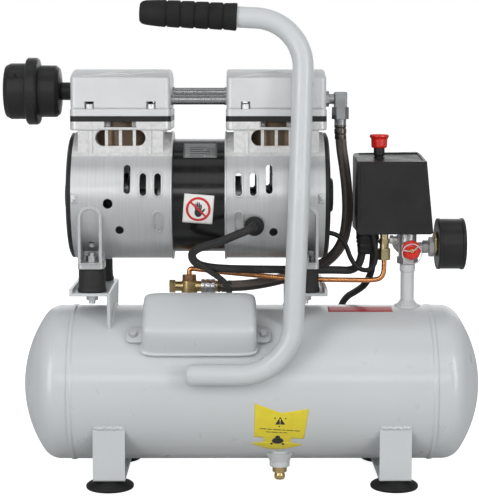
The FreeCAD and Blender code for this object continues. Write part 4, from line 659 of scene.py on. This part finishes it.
def brushed_casting(name):
    """Cast aluminium: brushed round X on the case, paler as-cast skin on the block above it."""
    material, tree, shader, place = start_finish(name, 0.4, 0.72)
    streaks = clouds(tree, place, 620, 2, (1.0, 0.03, 0.03))
    brushed = between(tree, streaks, (0.56, 0.565, 0.57), (0.64, 0.645, 0.65), 0.2, 0.8)
    zones = tree.nodes.new("ShaderNodeSeparateXYZ")
    tree.links.new(place, zones.inputs["Vector"])
    above = tree.nodes.new("ShaderNodeMapRange")
    above.inputs["From Min"].default_value = block_foot - 0.0006
    above.inputs["From Max"].default_value = block_foot + 0.0006
    tree.links.new(zones.outputs["Z"], above.inputs["Value"])
    skins = tree.nodes.new("ShaderNodeMixRGB")
    tree.links.new(above.outputs["Result"], skins.inputs["Fac"])
    tree.links.new(brushed, skins.inputs["Color1"])
    tree.links.new(between(tree, clouds(tree, place, 240, 5), (0.64, 0.64, 0.635), (0.78, 0.78, 0.775)),
                   skins.inputs["Color2"])
    mottled = tree.nodes.new("ShaderNodeMixRGB")
    mottled.blend_type = "MULTIPLY"
    mottled.inputs["Fac"].default_value = 0.5
    tree.links.new(skins.outputs["Color"], mottled.inputs["Color1"])
    tree.links.new(between(tree, clouds(tree, place, 26, 4), (0.9,) * 3, (1.0,) * 3),
                   mottled.inputs["Color2"])
    tree.links.new(mottled.outputs["Color"], shader.inputs["Base Color"])
    metal = tree.nodes.new("ShaderNodeMapRange")
    metal.inputs["To Min"].default_value = 0.72
    metal.inputs["To Max"].default_value = 0.3
    tree.links.new(above.outputs["Result"], metal.inputs["Value"])
    tree.links.new(metal.outputs["Result"], shader.inputs["Metallic"])
    rough = between(tree, clouds(tree, place, 90, 4), (0.33,) * 3, (0.42,) * 3)
    tree.links.new(rough, shader.inputs["Roughness"])
    soft_edges(tree, shader, 0.0009)
    relief(tree, shader, streaks, 0.00002, 0.5)
    relief(tree, shader, clouds(tree, place, 650, 2), 0.00003, 0.5)
    return material


def pebbled_casting(name, colour, roughness):
    """As-cast or blasted aluminium: even grey with small pits and flow marks."""
    material, tree, shader, place = start_finish(name, roughness, 0.35)
    dull = tuple(c * 0.92 for c in colour)
    tree.links.new(between(tree, clouds(tree, place, 30, 6), dull, colour), shader.inputs["Base Color"])
    pits = tree.nodes.new("ShaderNodeTexVoronoi")
    pits.inputs["Scale"].default_value = 900
    tree.links.new(place, pits.inputs["Vector"])
    soft_edges(tree, shader, 0.001)
    relief(tree, shader, pits.outputs["Distance"], 0.00005, 0.6)
    relief(tree, shader, clouds(tree, place, 120, 4), 0.00012, 0.5)
    return material


case_metal = brushed_casting("brushed_cast_aluminium")
head_metal = pebbled_casting("blasted_cast_aluminium", (0.69, 0.695, 0.70), 0.48)
dress(case_metal, "crankcase_left", "crankcase_right")
dress(head_metal, "head_cover_left", "head_cover_right")
head_half_width, head_half_depth, head_edge, head_crown = 48.75, 45.2, 397.0, 405.6
arch_radius = (head_half_depth ** 2 + (head_crown - head_edge) ** 2) / (2 * (head_crown - head_edge))
for side, head_x in (("left", -126.8), ("right", 23.2)):
    for order, (start_x, end_x, start_y, sweep) in enumerate((
            (-42.0, 42.0, -42.5, 26.0), (-42.0, 20.0, -43.0, 11.0), (-6.0, 42.5, -41.0, 14.0),
            (-42.0, 42.0, 42.5, -26.0))):
        t = np.linspace(0, 1, 60)
        rib_y = start_y + sweep * np.sin(math.pi * t * 0.5) ** 1.3
        rib_z = head_crown - arch_radius + np.sqrt(arch_radius ** 2 - rib_y ** 2)
        rib_line = np.column_stack([head_x + start_x + (end_x - start_x) * t, rib_y, rib_z - 0.55])
        swell = 0.35 + 1.0 * np.sin(math.pi * t) ** 0.5
        rib = hose_skin(f"head_rib_{side}_{order}", mm(rib_line), 0.001 * swell[:, None, None], head_metal)
        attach(rib, "frame")
# Painted shade: the whole valve plate node is black. The rubber gasket is truly black, and the aluminium plate stands
# in for the shade in the recess between the cylinder flange and the head cover.
gasket_and_painted_shade = black_moulding("gasket_and_painted_shade", 0.02, 0.42, 600, 0.00006)
dress(gasket_and_painted_shade, "valve_plates")
bore_metal = machined_metal("fired_aluminium", (0.17, 0.125, 0.085), 0.4, 0.8, (0.1, 0.1, 1), 500)
dress(bore_metal, "cylinder_liners")
piston_metal = machined_metal("turned_aluminium", (0.62, 0.62, 0.63), 0.3, lines=(1, 0.2, 0.2))
dress(piston_metal, "piston_left", "piston_right", "bearings")
dress(machined_metal("bright_bolt", (0.82, 0.82, 0.82), 0.42, 0.6), "head_bolts")
tube_metal = machined_metal("drawn_aluminium_tube", (0.36, 0.365, 0.37), 0.24, lines=(0.03, 1, 1), line_scale=300,
                            depth=0.0, tarnish=0.92, edge=0.0)
tube_profile = eased([(0, 0), (5.3, 0), (5.3, 1.8), (4.7, 2.4), (4.7, 51.7), (5.3, 52.3), (5.3, 54.1), (0, 54.1)], 0.3)
for order, (y, z) in enumerate(((-24.0, 375.5), (24.0, 382.5))):
    transfer_tube = turned(f"transfer_tube_{order}", tube_profile, (-78.85, y, z), (1, 0, 0), tube_metal, 64)
    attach(transfer_tube, "frame")
    if order == 0:
        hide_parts("transfer_tubes")



def pressed_form(name, rows, middle, up, out, material, square=7.0, crown=0.0):
    """A form of stacked outlines, each (x / a)^n + (y / b)^n = 1, closed at both ends.

    A row gives the outline's half length along X, half width along up, height along out and
    shift along up, in millimetres; crown swells the top between its long edges.
    """
    rows = np.asarray(rows, float)
    angle = np.linspace(0, 2 * math.pi, 128, endpoint=False)
    x = np.sign(np.cos(angle)) * np.abs(np.cos(angle)) ** (2 / square)
    y = np.sign(np.sin(angle)) * np.abs(np.sin(angle)) ** (2 / square)
    across = rows[:, 1:2] * y
    lift = rows[:, 2:3] + crown * (rows[:, 2:3] / rows[-1, 2]) ** 4 * (1 - (across / rows[0, 1]) ** 2)
    points = ((rows[:, :1] * x)[..., None] * np.array([1.0, 0, 0]) + (across + rows[:, 3:4])[..., None] * up
              + lift[..., None] * out)
    return skin(name, mm(middle) + points * 0.001, material)


boss_rows = [(3.2, 4.6, -1.4, 0), (3.2, 4.6, 1.0, 0), (2.8, 4.2, 1.4, 0), (1.5, 2.2, 1.42, 0), (0.2, 0.3, 1.42, 0)]
upward, frontward = np.array([0.0, 0, 1]), np.array([0.0, -1, 0])
for side, boss_x, hoop_x in (("left", -169.6, -79.0), ("right", 66.0, -26.6)):
    boss = pressed_form(f"case_boss_{side}", boss_rows, (boss_x, -62.3, 281.7), upward, frontward, case_metal)
    boss_screw = turned(f"case_screw_{side}", eased([(0, 0.4), (2.3, 0.4), (2.3, 1.9), (1.7, 2.5), (0, 2.6)], 0.3),
                        (boss_x, -62.3, 281.7), frontward, zinc_plate, 24)
    hoop = turned(f"case_hoop_{side}", [(62.0, 0), (63.3, 0.1), (63.7, 0.6), (63.7, 1.5), (63.3, 2.0), (62.0, 2.1)],
                  (hoop_x, 0, 280.9), (1, 0, 0), case_metal, 144, hoop=True)
    for piece in (boss, hoop):
        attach(piece, "frame")
    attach(boss_screw, "frame")

# ------------------------------------------------------------ motor
# The stator sits in a black enamelled can between the two cases; the windings, rotor
# and fans inside are seen only through the slots.


def enamel(name, tone):
    """Glossy black enamel over a rolled can: faint hoops of the rolling show through."""
    material, tree, shader, place = start_finish(name, 0.2)
    shader.inputs["Specular IOR Level"].default_value = 0.32
    hoops = clouds(tree, place, 420, 3, (1.0, 0.02, 0.02))
    tree.links.new(between(tree, hoops, (tone * 0.7,) * 3, (tone * 1.6,) * 3), shader.inputs["Base Color"])
    rough = between(tree, clouds(tree, place, 70, 3), (0.16,) * 3, (0.27,) * 3)
    tree.links.new(rough, shader.inputs["Roughness"])
    shader.inputs["Coat Weight"].default_value = 0.2
    shader.inputs["Coat Roughness"].default_value = 0.1
    relief(tree, shader, hoops, 0.00004, 0.6)
    return material


dress(enamel("black_enamel", 0.007), "motor_can")
lamination = machined_metal("stator_iron", (0.30, 0.29, 0.28), 0.5, lines=(1, 0.05, 0.05))
dress(lamination, "stator", "rotor_shaft")
dress(black_moulding("fan_plastic", 0.035, 0.5), "cooling_fans")
cover_black = black_moulding("cover_plastic", 0.020, 0.40, 900, 0.00005)
dress(cover_black, "end_cover_left", "end_cover_right")

can_radius, can_axis, can_x = 56.0, 280.9, -51.8
can_drum = (can_radius, can_axis)
label_white = vinyl("white_vinyl", (0.80, 0.79, 0.77))
sign_red = vinyl("sign_red", (0.62, 0.02, 0.02))


def turned_flat(x, z, degrees):
    """Turns flat label places about the sign's middle."""
    c, s = math.cos(math.radians(degrees)), math.sin(math.radians(degrees))
    return can_x + x * c - z * s, -9.9 + x * s + z * c


square = np.linspace(-14.4, 14.4, 15)
square_x, square_z = np.meshgrid(square, square)
label_patch("no_touch_sign", *turned_flat(square_x, square_z, -4.5), can_drum, 0.14, label_white,
            "black_steel")
ring_turn = np.linspace(0, 2 * math.pi, 73)[None, :]
ring_span = np.linspace(9.6, 11.9, 4)[:, None]
label_patch("no_touch_ring", *turned_flat(ring_span * np.cos(ring_turn), ring_span * np.sin(ring_turn), 0),
            can_drum, 0.30, sign_red, "black_steel")
bar_run = np.linspace(-10.4, 10.4, 15)[None, :]
bar_width = np.linspace(-0.95, 0.95, 3)[:, None]
hand_turn = np.linspace(0, 2 * math.pi, 37)[None, :]
hand_span = np.linspace(0.02, 1, 5)[:, None]
label_patch("no_touch_palm", *turned_flat(hand_span * 3.7 * np.cos(hand_turn),
                                          -3.0 + hand_span * 4.6 * np.sin(hand_turn), 0),
            can_drum, 0.26, ink, "black_steel")
for finger, (x, tall) in enumerate(((-2.8, 5.8), (-0.95, 7.4), (0.9, 7.0), (2.7, 5.2))):
    label_patch(f"no_touch_finger_{finger}",
                *turned_flat(x + 0.8 * hand_span * np.cos(hand_turn),
                             tall * 0.5 + hand_span * tall * 0.5 * np.sin(hand_turn), 0),
                can_drum, 0.26, ink, "black_steel")
label_patch("no_touch_thumb", *turned_flat(4.6 + 1.0 * hand_span * np.cos(hand_turn) + 1.6 * hand_span * np.sin(hand_turn),
                                           -1.6 + 2.6 * hand_span * np.sin(hand_turn), 0),
            can_drum, 0.26, ink, "black_steel")
label_patch("no_touch_bar", *turned_flat(bar_run + 0 * bar_width, bar_width + 0 * bar_run, -45.0 + 0),
            can_drum, 0.36, sign_red, "black_steel")
rating_x, rating_z = np.meshgrid(np.linspace(-66.5, -34.0, 17), np.linspace(43.0, 66.0, 17))
foil = machined_metal("label_foil", (0.36, 0.365, 0.37), 0.42, 0.6)
label_patch("rating_plate", rating_x, rating_z, can_drum, 0.14, foil, "black_steel")
for row in range(5):
    line_x, line_z = np.meshgrid(np.linspace(-60.5, -47.0 + 3 * (row % 3), 9),
                                 44.6 + row * 3.1 + np.linspace(0, 0.9, 3))
    label_patch(f"rating_line_{row}", line_x, line_z, can_drum, 0.26, ink, "black_steel")
for row in range(7):
    line_x, line_z = np.meshgrid(-44.0 + row * 1.3 + np.linspace(0, 0.4, 2), np.linspace(44.6, 58.0, 11))
    label_patch(f"rating_grid_{row}", line_x, line_z, can_drum, 0.26, ink, "black_steel")

# ------------------------------------------------------------ air filter
# Two moulded halves screwed together over a felt pad; the joint carries a gripping rim.

filter_black = black_moulding("filter_plastic", 0.017, 0.36, 500, 0.00005)
dress(filter_black, "filter_housing", "filter_cap")

# ------------------------------------------------------------ discharge hose and its fittings
# Braided hose between a plated elbow on the right-hand head and the check valve on the
# tank; a thin copper line relieves the check valve through the unloader.

hose_route = [
    (88.0, 4.0, 350.0), (88.6, 4.5, 332.0), (93.0, 6.0, 306.0), (96.0, 8.0, 280.0),
    (96.3, 10.0, 254.0), (91.0, 12.5, 227.5), (73.0, 14.0, 209.5), (50.0, 14.0, 200.8),
    (27.0, 13.5, 194.0), (5.0, 11.0, 190.0), (-14.0, 8.6, 188.4), (-34.0, 8.0, 188.4)]


def braid(name):
    """Woven cover: two sets of slanting strands of dark yarn, with painted highlight and shade in long streaks along
    the hose.
    """
    material = bpy.data.materials.new(name)
    material.use_nodes = True
    tree = material.node_tree
    shader = tree.nodes["Principled BSDF"]
    shader.inputs["Roughness"].default_value = 0.5
    surface = tree.nodes.new("ShaderNodeUVMap")
    surface.uv_map = "surface"
    heights = []
    for slant in (1, -1):
        mapping = tree.nodes.new("ShaderNodeMapping")
        mapping.inputs["Rotation"].default_value = (0, 0, math.radians(38 * slant))
        wave = tree.nodes.new("ShaderNodeTexWave")
        wave.inputs["Scale"].default_value = 5.2
        wave.inputs["Distortion"].default_value = 0.4
        tree.links.new(surface.outputs["UV"], mapping.inputs["Vector"])
        tree.links.new(mapping.outputs["Vector"], wave.inputs["Vector"])
        heights.append(wave.outputs["Fac"])
    woven = tree.nodes.new("ShaderNodeMath")
    woven.operation = "MAXIMUM"
    tree.links.new(heights[0], woven.inputs[0])
    tree.links.new(heights[1], woven.inputs[1])
    yarn = between(tree, woven.outputs["Value"], (0.03, 0.026, 0.024), (0.20, 0.17, 0.155))
    # Painted highlight and shade: broad light and dark streaks along the hose stand in for the braid's long
    # highlights.
    painted_highlight_streaks = between(tree, clouds(tree, surface.outputs["UV"], 1.0, 2, (0.05, 2.6, 1.0)), (0.45,) * 3, (1.5,) * 3,
                     0.42, 0.58)
    yarn_with_painted_streaks = tree.nodes.new("ShaderNodeMixRGB")
    yarn_with_painted_streaks.blend_type = "MULTIPLY"
    yarn_with_painted_streaks.inputs["Fac"].default_value = 1.0
    tree.links.new(yarn, yarn_with_painted_streaks.inputs["Color1"])
    tree.links.new(painted_highlight_streaks, yarn_with_painted_streaks.inputs["Color2"])
    tree.links.new(yarn_with_painted_streaks.outputs["Color"], shader.inputs["Base Color"])
    relief(tree, shader, woven.outputs["Value"], 0.0004)
    return material


hose_line_curve = route_curve("hose_line", hose_route, 0.0, flex_finish)
hose_length, hose_line = spline_length(hose_line_curve)
bpy.data.objects.remove(hose_line_curve)
hose = hose_skin("braided_hose", hose_line, 0.0055, braid("woven_hose_cover"))
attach(hose, "frame")
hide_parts("discharge_hose")
crimp_metal = machined_metal("browned_steel", (0.16, 0.145, 0.13), 0.3, 0.9)
crimp_profile = eased([(5.2, 0), (6.1, 0.4), (6.1, 2.2), (5.5, 2.8), (5.5, 3.6), (6.1, 4.2), (6.1, 8.6), (5.5, 9.2),
                       (5.5, 10.0), (5.9, 10.6), (5.8, 14.0), (5.2, 14.2)], 0.3)
for name, base, axis in (("hose_crimp_top", (88.0, 4.0, 350.5), (0.03, 0.03, -1)),
                         ("hose_crimp_tank", (-34.0, 8.0, 188.4), (1, 0.03, 0))):
    crimp = turned(name, crimp_profile, base, axis, crimp_metal, 48)
    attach(crimp, "frame")
dress(machined_metal("dull_zinc_casting", (0.42, 0.43, 0.44), 0.34, tarnish=0.7), "discharge_elbow")
dress(machined_metal("valve_brass", (0.72, 0.55, 0.26), 0.28, tarnish=0.75), "check_valve")
collar = turned("hose_collar", eased([(0, 0), (7.2, 0), (7.6, 0.8), (7.6, 3.4), (7.0, 4.0), (7.0, 4.8), (7.6, 5.4), (7.6, 8.6),
                                      (7.0, 9.2), (7.0, 10.0), (7.6, 10.6), (7.6, 13.6), (6.9, 14.4), (0, 14.4)], 0.3),
                (-50.5, 8.0, 188.4), (1, 0, 0), zinc_plate, 72)
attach(collar, "frame")


def six_sided(angle):
    """A hexagon's outline: the radius over its corner radius at each angle."""
    return math.cos(math.pi / 6) / np.cos(np.mod(angle, math.pi / 3) - math.pi / 6)


nut_finish = machined_metal("copper_brown_nut", (0.42, 0.24, 0.13), 0.3, tarnish=0.7)
nut = turned("check_valve_nut", eased([(0, 0), (6.6, 0), (7.0, 0.6), (7.0, 6.0), (6.4, 6.8), (3.4, 7.2), (0, 7.2)], 0.3),
             (-62.5, 8.0, 193.5), (0, 0, 1), nut_finish, 72, wave=six_sided)
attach(nut, "frame")
passivated = machined_metal("yellow_passivated_steel", (0.62, 0.53, 0.30), 0.3, tarnish=0.78)
dress(passivated, "unloader_valve")

copper = machined_metal("drawn_copper", (0.86, 0.38, 0.15), 0.24, lines=(0.08, 1, 1), line_scale=600,
                        tarnish=0.72)
copper_route = [
    (-62.5, 8.0, 199.5), (-62.5, 8.0, 203.6), (-61.6, 7.8, 206.0), (-58.0, 7.2, 206.2), (-45.0, 4.5, 204.8),
    (-20.0, 0.5, 202.6), (30.0, -5.0, 198.6), (66.0, -6.0, 196.8), (100.0, -6.0, 196.4),
    (119.5, -8.1, 196.4), (127.6, -9.0, 198.0), (131.0, -9.2, 203.0), (131.4, -9.2, 210.0),
    (131.4, -9.2, 217.5)]
copper_line = route_curve("copper_line", copper_route, 0.0025, copper)
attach(copper_line, "frame")
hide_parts("unloader_tube")

# ------------------------------------------------------------ riser, manifold and valves
# A die-cast manifold on the riser pipe holds the switch above, the gauge on its right,
# the safety valve in front and the quick coupler at the back.

manifold_metal = machined_metal("cast_zinc", (0.62, 0.62, 0.63), 0.36, 0.9, line_scale=500, depth=0.00005,
                                tarnish=0.72)
dress(manifold_metal, "manifold")
dress(brass, "safety_valve_body")
gauge_nut = turned("gauge_nut", eased([(0, 0), (11.4, 0), (12.2, 0.6), (12.2, 2.9), (11.4, 3.5), (0, 3.5)], 0.3),
                   (181.0, 0, 232.0), (1, 0, 0), passivated, 72, wave=six_sided)
plug_nut = turned("manifold_plug", eased([(0, 0), (4.0, 0), (4.4, 0.5), (4.4, 3.2), (3.2, 3.6), (3.2, 7.5), (0, 7.5)], 0.3),
                  (137.0, -7.0, 237.0), (1, 0, 0), zinc_plate, 48, wave=six_sided)
for piece, slot in ((gauge_nut, "brass"), (plug_nut, "bright_steel")):
    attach(piece, "frame")
dress(zinc_plate, "outlet_coupler", "coupler_sleeve")


def gloss_plastic(name, colour):
    """Shiny moulded plastic with faint flow marks."""
    material, tree, shader, place = start_finish(name, 0.22)
    dull = tuple(c * 0.85 for c in colour)
    tree.links.new(between(tree, clouds(tree, place, 90, 3), dull, colour), shader.inputs["Base Color"])
    shader.inputs["Coat Weight"].default_value = 0.3
    shader.inputs["Subsurface Weight"].default_value = 0.05
    shader.inputs["Subsurface Radius"].default_value = (0.002, 0.0006, 0.0004)
    relief(tree, shader, clouds(tree, place, 260, 2), 0.00005, 0.5)
    return material


red_plastic = gloss_plastic("red_plastic", (0.74, 0.022, 0.012))
cap_profile = eased([(0, 0), (7.4, 0), (9.3, 1.2), (9.9, 3.2), (9.2, 5.6), (6.6, 7.4), (3.4, 7.9), (3.0, 7.0), (0, 7.0)],
                    0.5)
valve_x, valve_cap_y, valve_z = 155.6, -28.4, 229.0
cap = turned("safety_cap", cap_profile, (valve_x, valve_cap_y, valve_z), (0, -1, 0), red_plastic, 96,
             wave=lambda a: 1 - 0.045 * np.abs(np.sin(a * 4)) ** 1.5)
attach(cap, "safety")
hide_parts("safety_ring")
pin = turned("safety_pin", eased([(0, -6.8), (2.3, -6.8), (1.9, 7.6), (2.1, 8.0), (2.1, 10.6), (1.5, 11.4), (0, 11.4)],
                                 0.3), (valve_x, valve_cap_y, valve_z), (0, -1, 0), brass, 40)
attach(pin, "safety")


def ring_wire(name, centre, radius, wire, tilt, material):
    """A wire ring: a circle of that radius in X and Z, leaning towards the front by tilt."""
    turn = np.linspace(0, 2 * math.pi, 97)[:-1]
    out = np.column_stack([np.cos(turn), -math.sin(tilt) * np.sin(turn), math.cos(tilt) * np.sin(turn)])
    normal = np.array([0, math.cos(tilt), math.sin(tilt)])
    angle = np.linspace(0, 2 * math.pi, 17)[:-1]
    section = out[:, None] * np.cos(angle)[None, :, None] + normal[None, None] * np.sin(angle)[None, :, None]
    grid = mm(centre) + out[:, None] * radius * 0.001 + section * wire * 0.001
    grid = np.concatenate([grid, grid[:1]])
    return skin(name, grid, material, ends=False)


pull_ring = ring_wire("pull_ring", (valve_x, valve_cap_y - 9.2, valve_z - 3.0), 9.6, 0.62, 0.05, zinc_plate)
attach(pull_ring, "safety")
link_route = [(valve_x - 9.0, valve_cap_y - 9.2, valve_z + 0.6), (valve_x - 3.0, valve_cap_y - 10.2, valve_z - 0.4),
              (valve_x + 1.5, valve_cap_y - 10.4, valve_z - 0.2), (valve_x + 5.2, valve_cap_y - 9.6, valve_z + 3.6),
              (valve_x + 6.6, valve_cap_y - 9.2, valve_z + 4.6)]
pull_link = route_curve("pull_link", link_route, 0.00062, zinc_plate, 4)
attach(pull_link, "safety")

# ------------------------------------------------------------ gauge
# A 50 mm pressure gauge: black steel case, white printed dial, red and black needle,
# clear lens.

gauge_black = black_moulding("gauge_enamel", 0.020, 0.34, 1100, 0.00003)
dress(gauge_black, "gauge_case")
dress(vinyl("needle_black", (0.015, 0.015, 0.015), 0.4), "gauge_needle")
dial_white = vinyl("dial_white", (0.86, 0.86, 0.84), 0.45)
dress(dial_white, "gauge_dial")
glass, glass_tree, glass_shader, glass_place = start_finish("clear_lens", 0.04)
glass_shader.inputs["Base Color"].default_value = (0.96, 0.98, 0.99, 1)
glass_shader.inputs["Transmission Weight"].default_value = 1.0
glass_shader.inputs["IOR"].default_value = 1.25
relief(glass_tree, glass_shader, clouds(glass_tree, glass_place, 30, 2), 0.00002, 0.3)
dress(glass, "gauge_lens")
dial_low, dial_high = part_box("gauge_dial")
dial_face = dial_high.x
dial_y = (dial_low.y + dial_high.y) / 2
dial_z = (dial_low.z + dial_high.z) / 2


def dial_mark(name, inner, outer, half_width, degrees, material):
    """A printed bar on the dial: a thin box that runs outwards at an angle from straight up."""
    a = math.radians(degrees)
    out = np.array([0.0, math.sin(a), math.cos(a)])
    side = np.array([0.0, math.cos(a), -math.sin(a)])
    centre = np.array([dial_face, dial_y, dial_z])
    rows = []
    for distance in (inner, outer):
        for_side = []
        for lift, shift in ((0.00002, -1), (0.00014, -1), (0.00014, 1), (0.00002, 1)):
            for_side.append(centre + out * distance + side * half_width * shift + np.array([lift, 0, 0]))
        rows.append(for_side)
    return skin(name, np.array(rows), material)


for tick in range(31):
    swing = -135 + 9 * tick
    long_tick = tick % 5 == 0
    mark = dial_mark(f"dial_tick_{tick}", 0.0150 if long_tick else 0.0170, 0.0192,
                     0.00042 if long_tick else 0.00022, swing, ink)
    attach(mark, "frame")
for number in range(7):
    a = math.radians(-135 + 45 * number)
    text = bpy.data.curves.new(f"dial_number_{number}", "FONT")
    text.body = str(number * 2)
    text.size = 0.0044
    text.extrude = 0.00004
    text.align_x = "CENTER"
    text.align_y = "CENTER"
    holder = bpy.data.objects.new(f"number_text_{number}", text)
    bpy.context.scene.collection.objects.link(holder)
    bpy.context.view_layer.update()
    digits = bpy.data.meshes.new_from_object(holder.evaluated_get(bpy.context.evaluated_depsgraph_get()))
    bpy.data.objects.remove(holder)
    flat = np.empty(len(digits.vertices) * 3)
    digits.vertices.foreach_get("co", flat)
    flat = flat.reshape(-1, 3)
    placed = np.column_stack([dial_face + 0.00008 + flat[:, 2], dial_y + flat[:, 0] + 0.0115 * math.sin(a),
                              dial_z + flat[:, 1] + 0.0115 * math.cos(a)])
    digits.vertices.foreach_set("co", placed.ravel())
    digits.materials.clear()
    digits.materials.append(ink)
    digits.name = f"dial_digits_{number}"
    piece = bpy.data.objects.new(f"dial_digits_{number}", digits)
    bpy.context.scene.collection.objects.link(piece)
    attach(piece, "frame")
red_zone_turn = np.radians(np.linspace(90, 135, 25))
red_zone_span = np.array([0.0194, 0.0206])
zone = np.stack([np.full((2, 25), dial_face + 0.00010),
                 dial_y + red_zone_span[:, None] * np.sin(red_zone_turn)[None],
                 dial_z + red_zone_span[:, None] * np.cos(red_zone_turn)[None]], -1)
red_zone = skin("dial_red_zone", zone, sign_red, around=False, ends=False)
zone_film = red_zone.modifiers.new("film", "SOLIDIFY")
zone_film.thickness = 0.00006
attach(red_zone, "frame")

# ------------------------------------------------------------ pressure switch
# Black moulded cover over a plated base, with a red push-pull knob on a black stem and
# two ribbed cord grips.

switch_black = black_moulding("switch_plastic", 0.022, 0.38, 1000, 0.00006)
dress(switch_black, "switch_cover", "cable_glands")
dress(black_moulding("contact_plastic", 0.05, 0.5), "switch_contact_block")
boot_rows = [
    (11.0, 8.2, 0, 0), (11.5, 8.6, 0.8, 0), (11.5, 8.6, 3.6, 0), (10.9, 8.0, 4.2, 0), (10.9, 8.0, 5.4, 0),
    (11.4, 8.5, 6.0, 0), (11.4, 8.5, 9.0, 0), (10.8, 7.9, 9.6, 0), (10.7, 7.8, 11.0, 0), (10.3, 6.8, 13.0, 0),
    (10.1, 6.4, 14.0, 0), (10.5, 6.7, 14.6, 0), (10.3, 6.4, 17.6, 0), (9.9, 5.9, 18.2, 0), (9.9, 5.8, 19.4, 0),
    (10.1, 5.9, 20.0, 0), (9.8, 5.4, 23.4, 0), (9.2, 4.8, 24.2, 0), (4.0, 2.0, 24.3, 0), (0.4, 0.2, 24.3, 0)]
boot = pressed_form("cord_boot", boot_rows, (115.6, 0, 246.0), np.array([0.0, 1, 0]), np.array([0.0, 0, -1]),
                    switch_black, 3.4)
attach(boot, "frame")
knob_x, knob_top = 126.5, 322.5
knob_profile = eased([(0, 5.0), (5.6, 5.0), (7.3, 5.4), (7.8, 7.0), (8.1, 13.8), (8.9, 15.3), (9.7, 16.0), (9.7, 17.6),
                      (9.0, 18.6), (7.6, 18.9), (6.4, 18.4), (0, 18.2)], 0.45)
knob = turned("knob_head", knob_profile, (knob_x, 0, knob_top), (0, 0, 1), red_plastic, 96,
              wave=lambda a: 1 - 0.012 * (0.5 + 0.5 * np.cos(a * 24)))
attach(knob, "knob")
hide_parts("switch_knob")
stem = turned("knob_stem", eased([(0, -35.9), (4.4, -35.9), (4.4, -3.0), (5.5, -2.2), (5.5, 5.6), (0, 5.6)], 0.4),
              (knob_x, 0, knob_top), (0, 0, 1), switch_black, 48)
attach(stem, "knob")

# ------------------------------------------------------------ capacitor
# The capacitor lies under the drawn cover on the tank's front.

dress(machined_metal("capacitor_can", (0.6, 0.6, 0.61), 0.35), "capacitor")
cover_tilt = math.radians(40.0)
cover_up = np.array([0, math.cos(cover_tilt), math.sin(cover_tilt)])
cover_out = np.array([0, -math.sin(cover_tilt), math.cos(cover_tilt)])
cover_rows = [
    (56.6, 30.2, -0.8, 1.0), (57.2, 30.8, 0.0, 1.0), (57.3, 30.9, 0.7, 1.0), (56.9, 30.5, 1.3, 1.0),
    (56.1, 29.8, 1.6, 1.0), (55.5, 29.2, 2.3, 1.0), (55.2, 28.9, 3.6, 1.1), (55.0, 28.7, 6.5, 1.4),
    (54.9, 28.5, 12.0, 2.3), (54.8, 28.2, 18.0, 3.4), (54.5, 27.5, 21.0, 3.8), (54.0, 26.3, 23.6, 4.0),
    (53.0, 24.6, 25.3, 4.0), (51.6, 22.2, 26.3, 4.0), (49.4, 19.0, 26.9, 4.0), (42.0, 15.0, 27.0, 4.0),
    (32.0, 11.5, 27.0, 4.0), (20.0, 7.0, 27.0, 4.0), (8.0, 3.0, 27.0, 4.0), (0.8, 0.3, 27.0, 4.0)]
cover_rim = 75.0
capacitor_cover = pressed_form("drawn_cover", cover_rows, np.array([-50.8, 0, tank_axis]) + cover_out * cover_rim,
                               cover_up, cover_out, tank_paint, 9.0, 1.2)
ear_rows = [(9.4, 9.4, -0.6, 0), (9.8, 9.8, 0, 0), (9.8, 9.8, 1.2, 0), (9.4, 9.4, 1.65, 0), (4.0, 4.0, 1.7, 0),
            (0.4, 0.4, 1.7, 0)]
for side, sign in (("left", -1), ("right", 1)):
    ear_middle = np.array([-51.8 + 60.0 * sign, 0, tank_axis]) + cover_out * 78.0 - cover_up * 6.0
    ear = pressed_form(f"cover_ear_{side}", ear_rows, ear_middle, cover_up, cover_out, tank_paint, 4.0)
    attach(ear, "frame")
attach(capacitor_cover, "frame")
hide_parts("capacitor_cover")

# ------------------------------------------------------------ handle grip
# A foam-rubber sleeve with five grooves on the bent handle tube.

grip_rubber = black_moulding("foam_rubber", 0.016, 0.72, 1300, 0.00016)
grip_tip = np.array([-103.5, -49.0, 458.6])
grip_end = np.array([49.6, -52.5, 451.0])
grip_axis = (grip_end - grip_tip) / np.linalg.norm(grip_end - grip_tip)
grip_grooves = (22.0, 35.5, 49.0, 62.5, 76.0)
grip_profile = [(0.0, -3.6), (5.0, -3.9), (8.6, -3.5), (10.6, -1.4), (11.6, 2.0), (12.2, 8.0), (12.6, 14.0)]
for groove in grip_grooves:
    grip_profile += [(13.0, groove - 2.0), (12.7, groove - 0.9), (11.7, groove - 0.3), (11.7, groove + 0.3),
                     (12.5, groove + 0.9), (12.7, groove + 2.2), (12.9, groove + 7.0)]
grip_profile += [(13.2, 86.4), (13.2, 88.2), (12.4, 89.0), (10.3, 89.0), (10.3, 86.0)]
grip = turned("foam_grip", eased(grip_profile, 0.35), grip_tip, grip_axis, grip_rubber, 72)
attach(grip, "frame")
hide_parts("handle_grip")

end_cap = turned("handle_end", eased([(0, -0.8), (9.9, -0.8), (10.15, 0.2), (9.9, 2.0), (8.4, 3.8), (5.2, 4.9), (0, 5.2)], 0.6),
                 (-59.0, -83.8, 115.8), (-1, 0, 0), tank_paint, 64)
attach(end_cap, "frame")
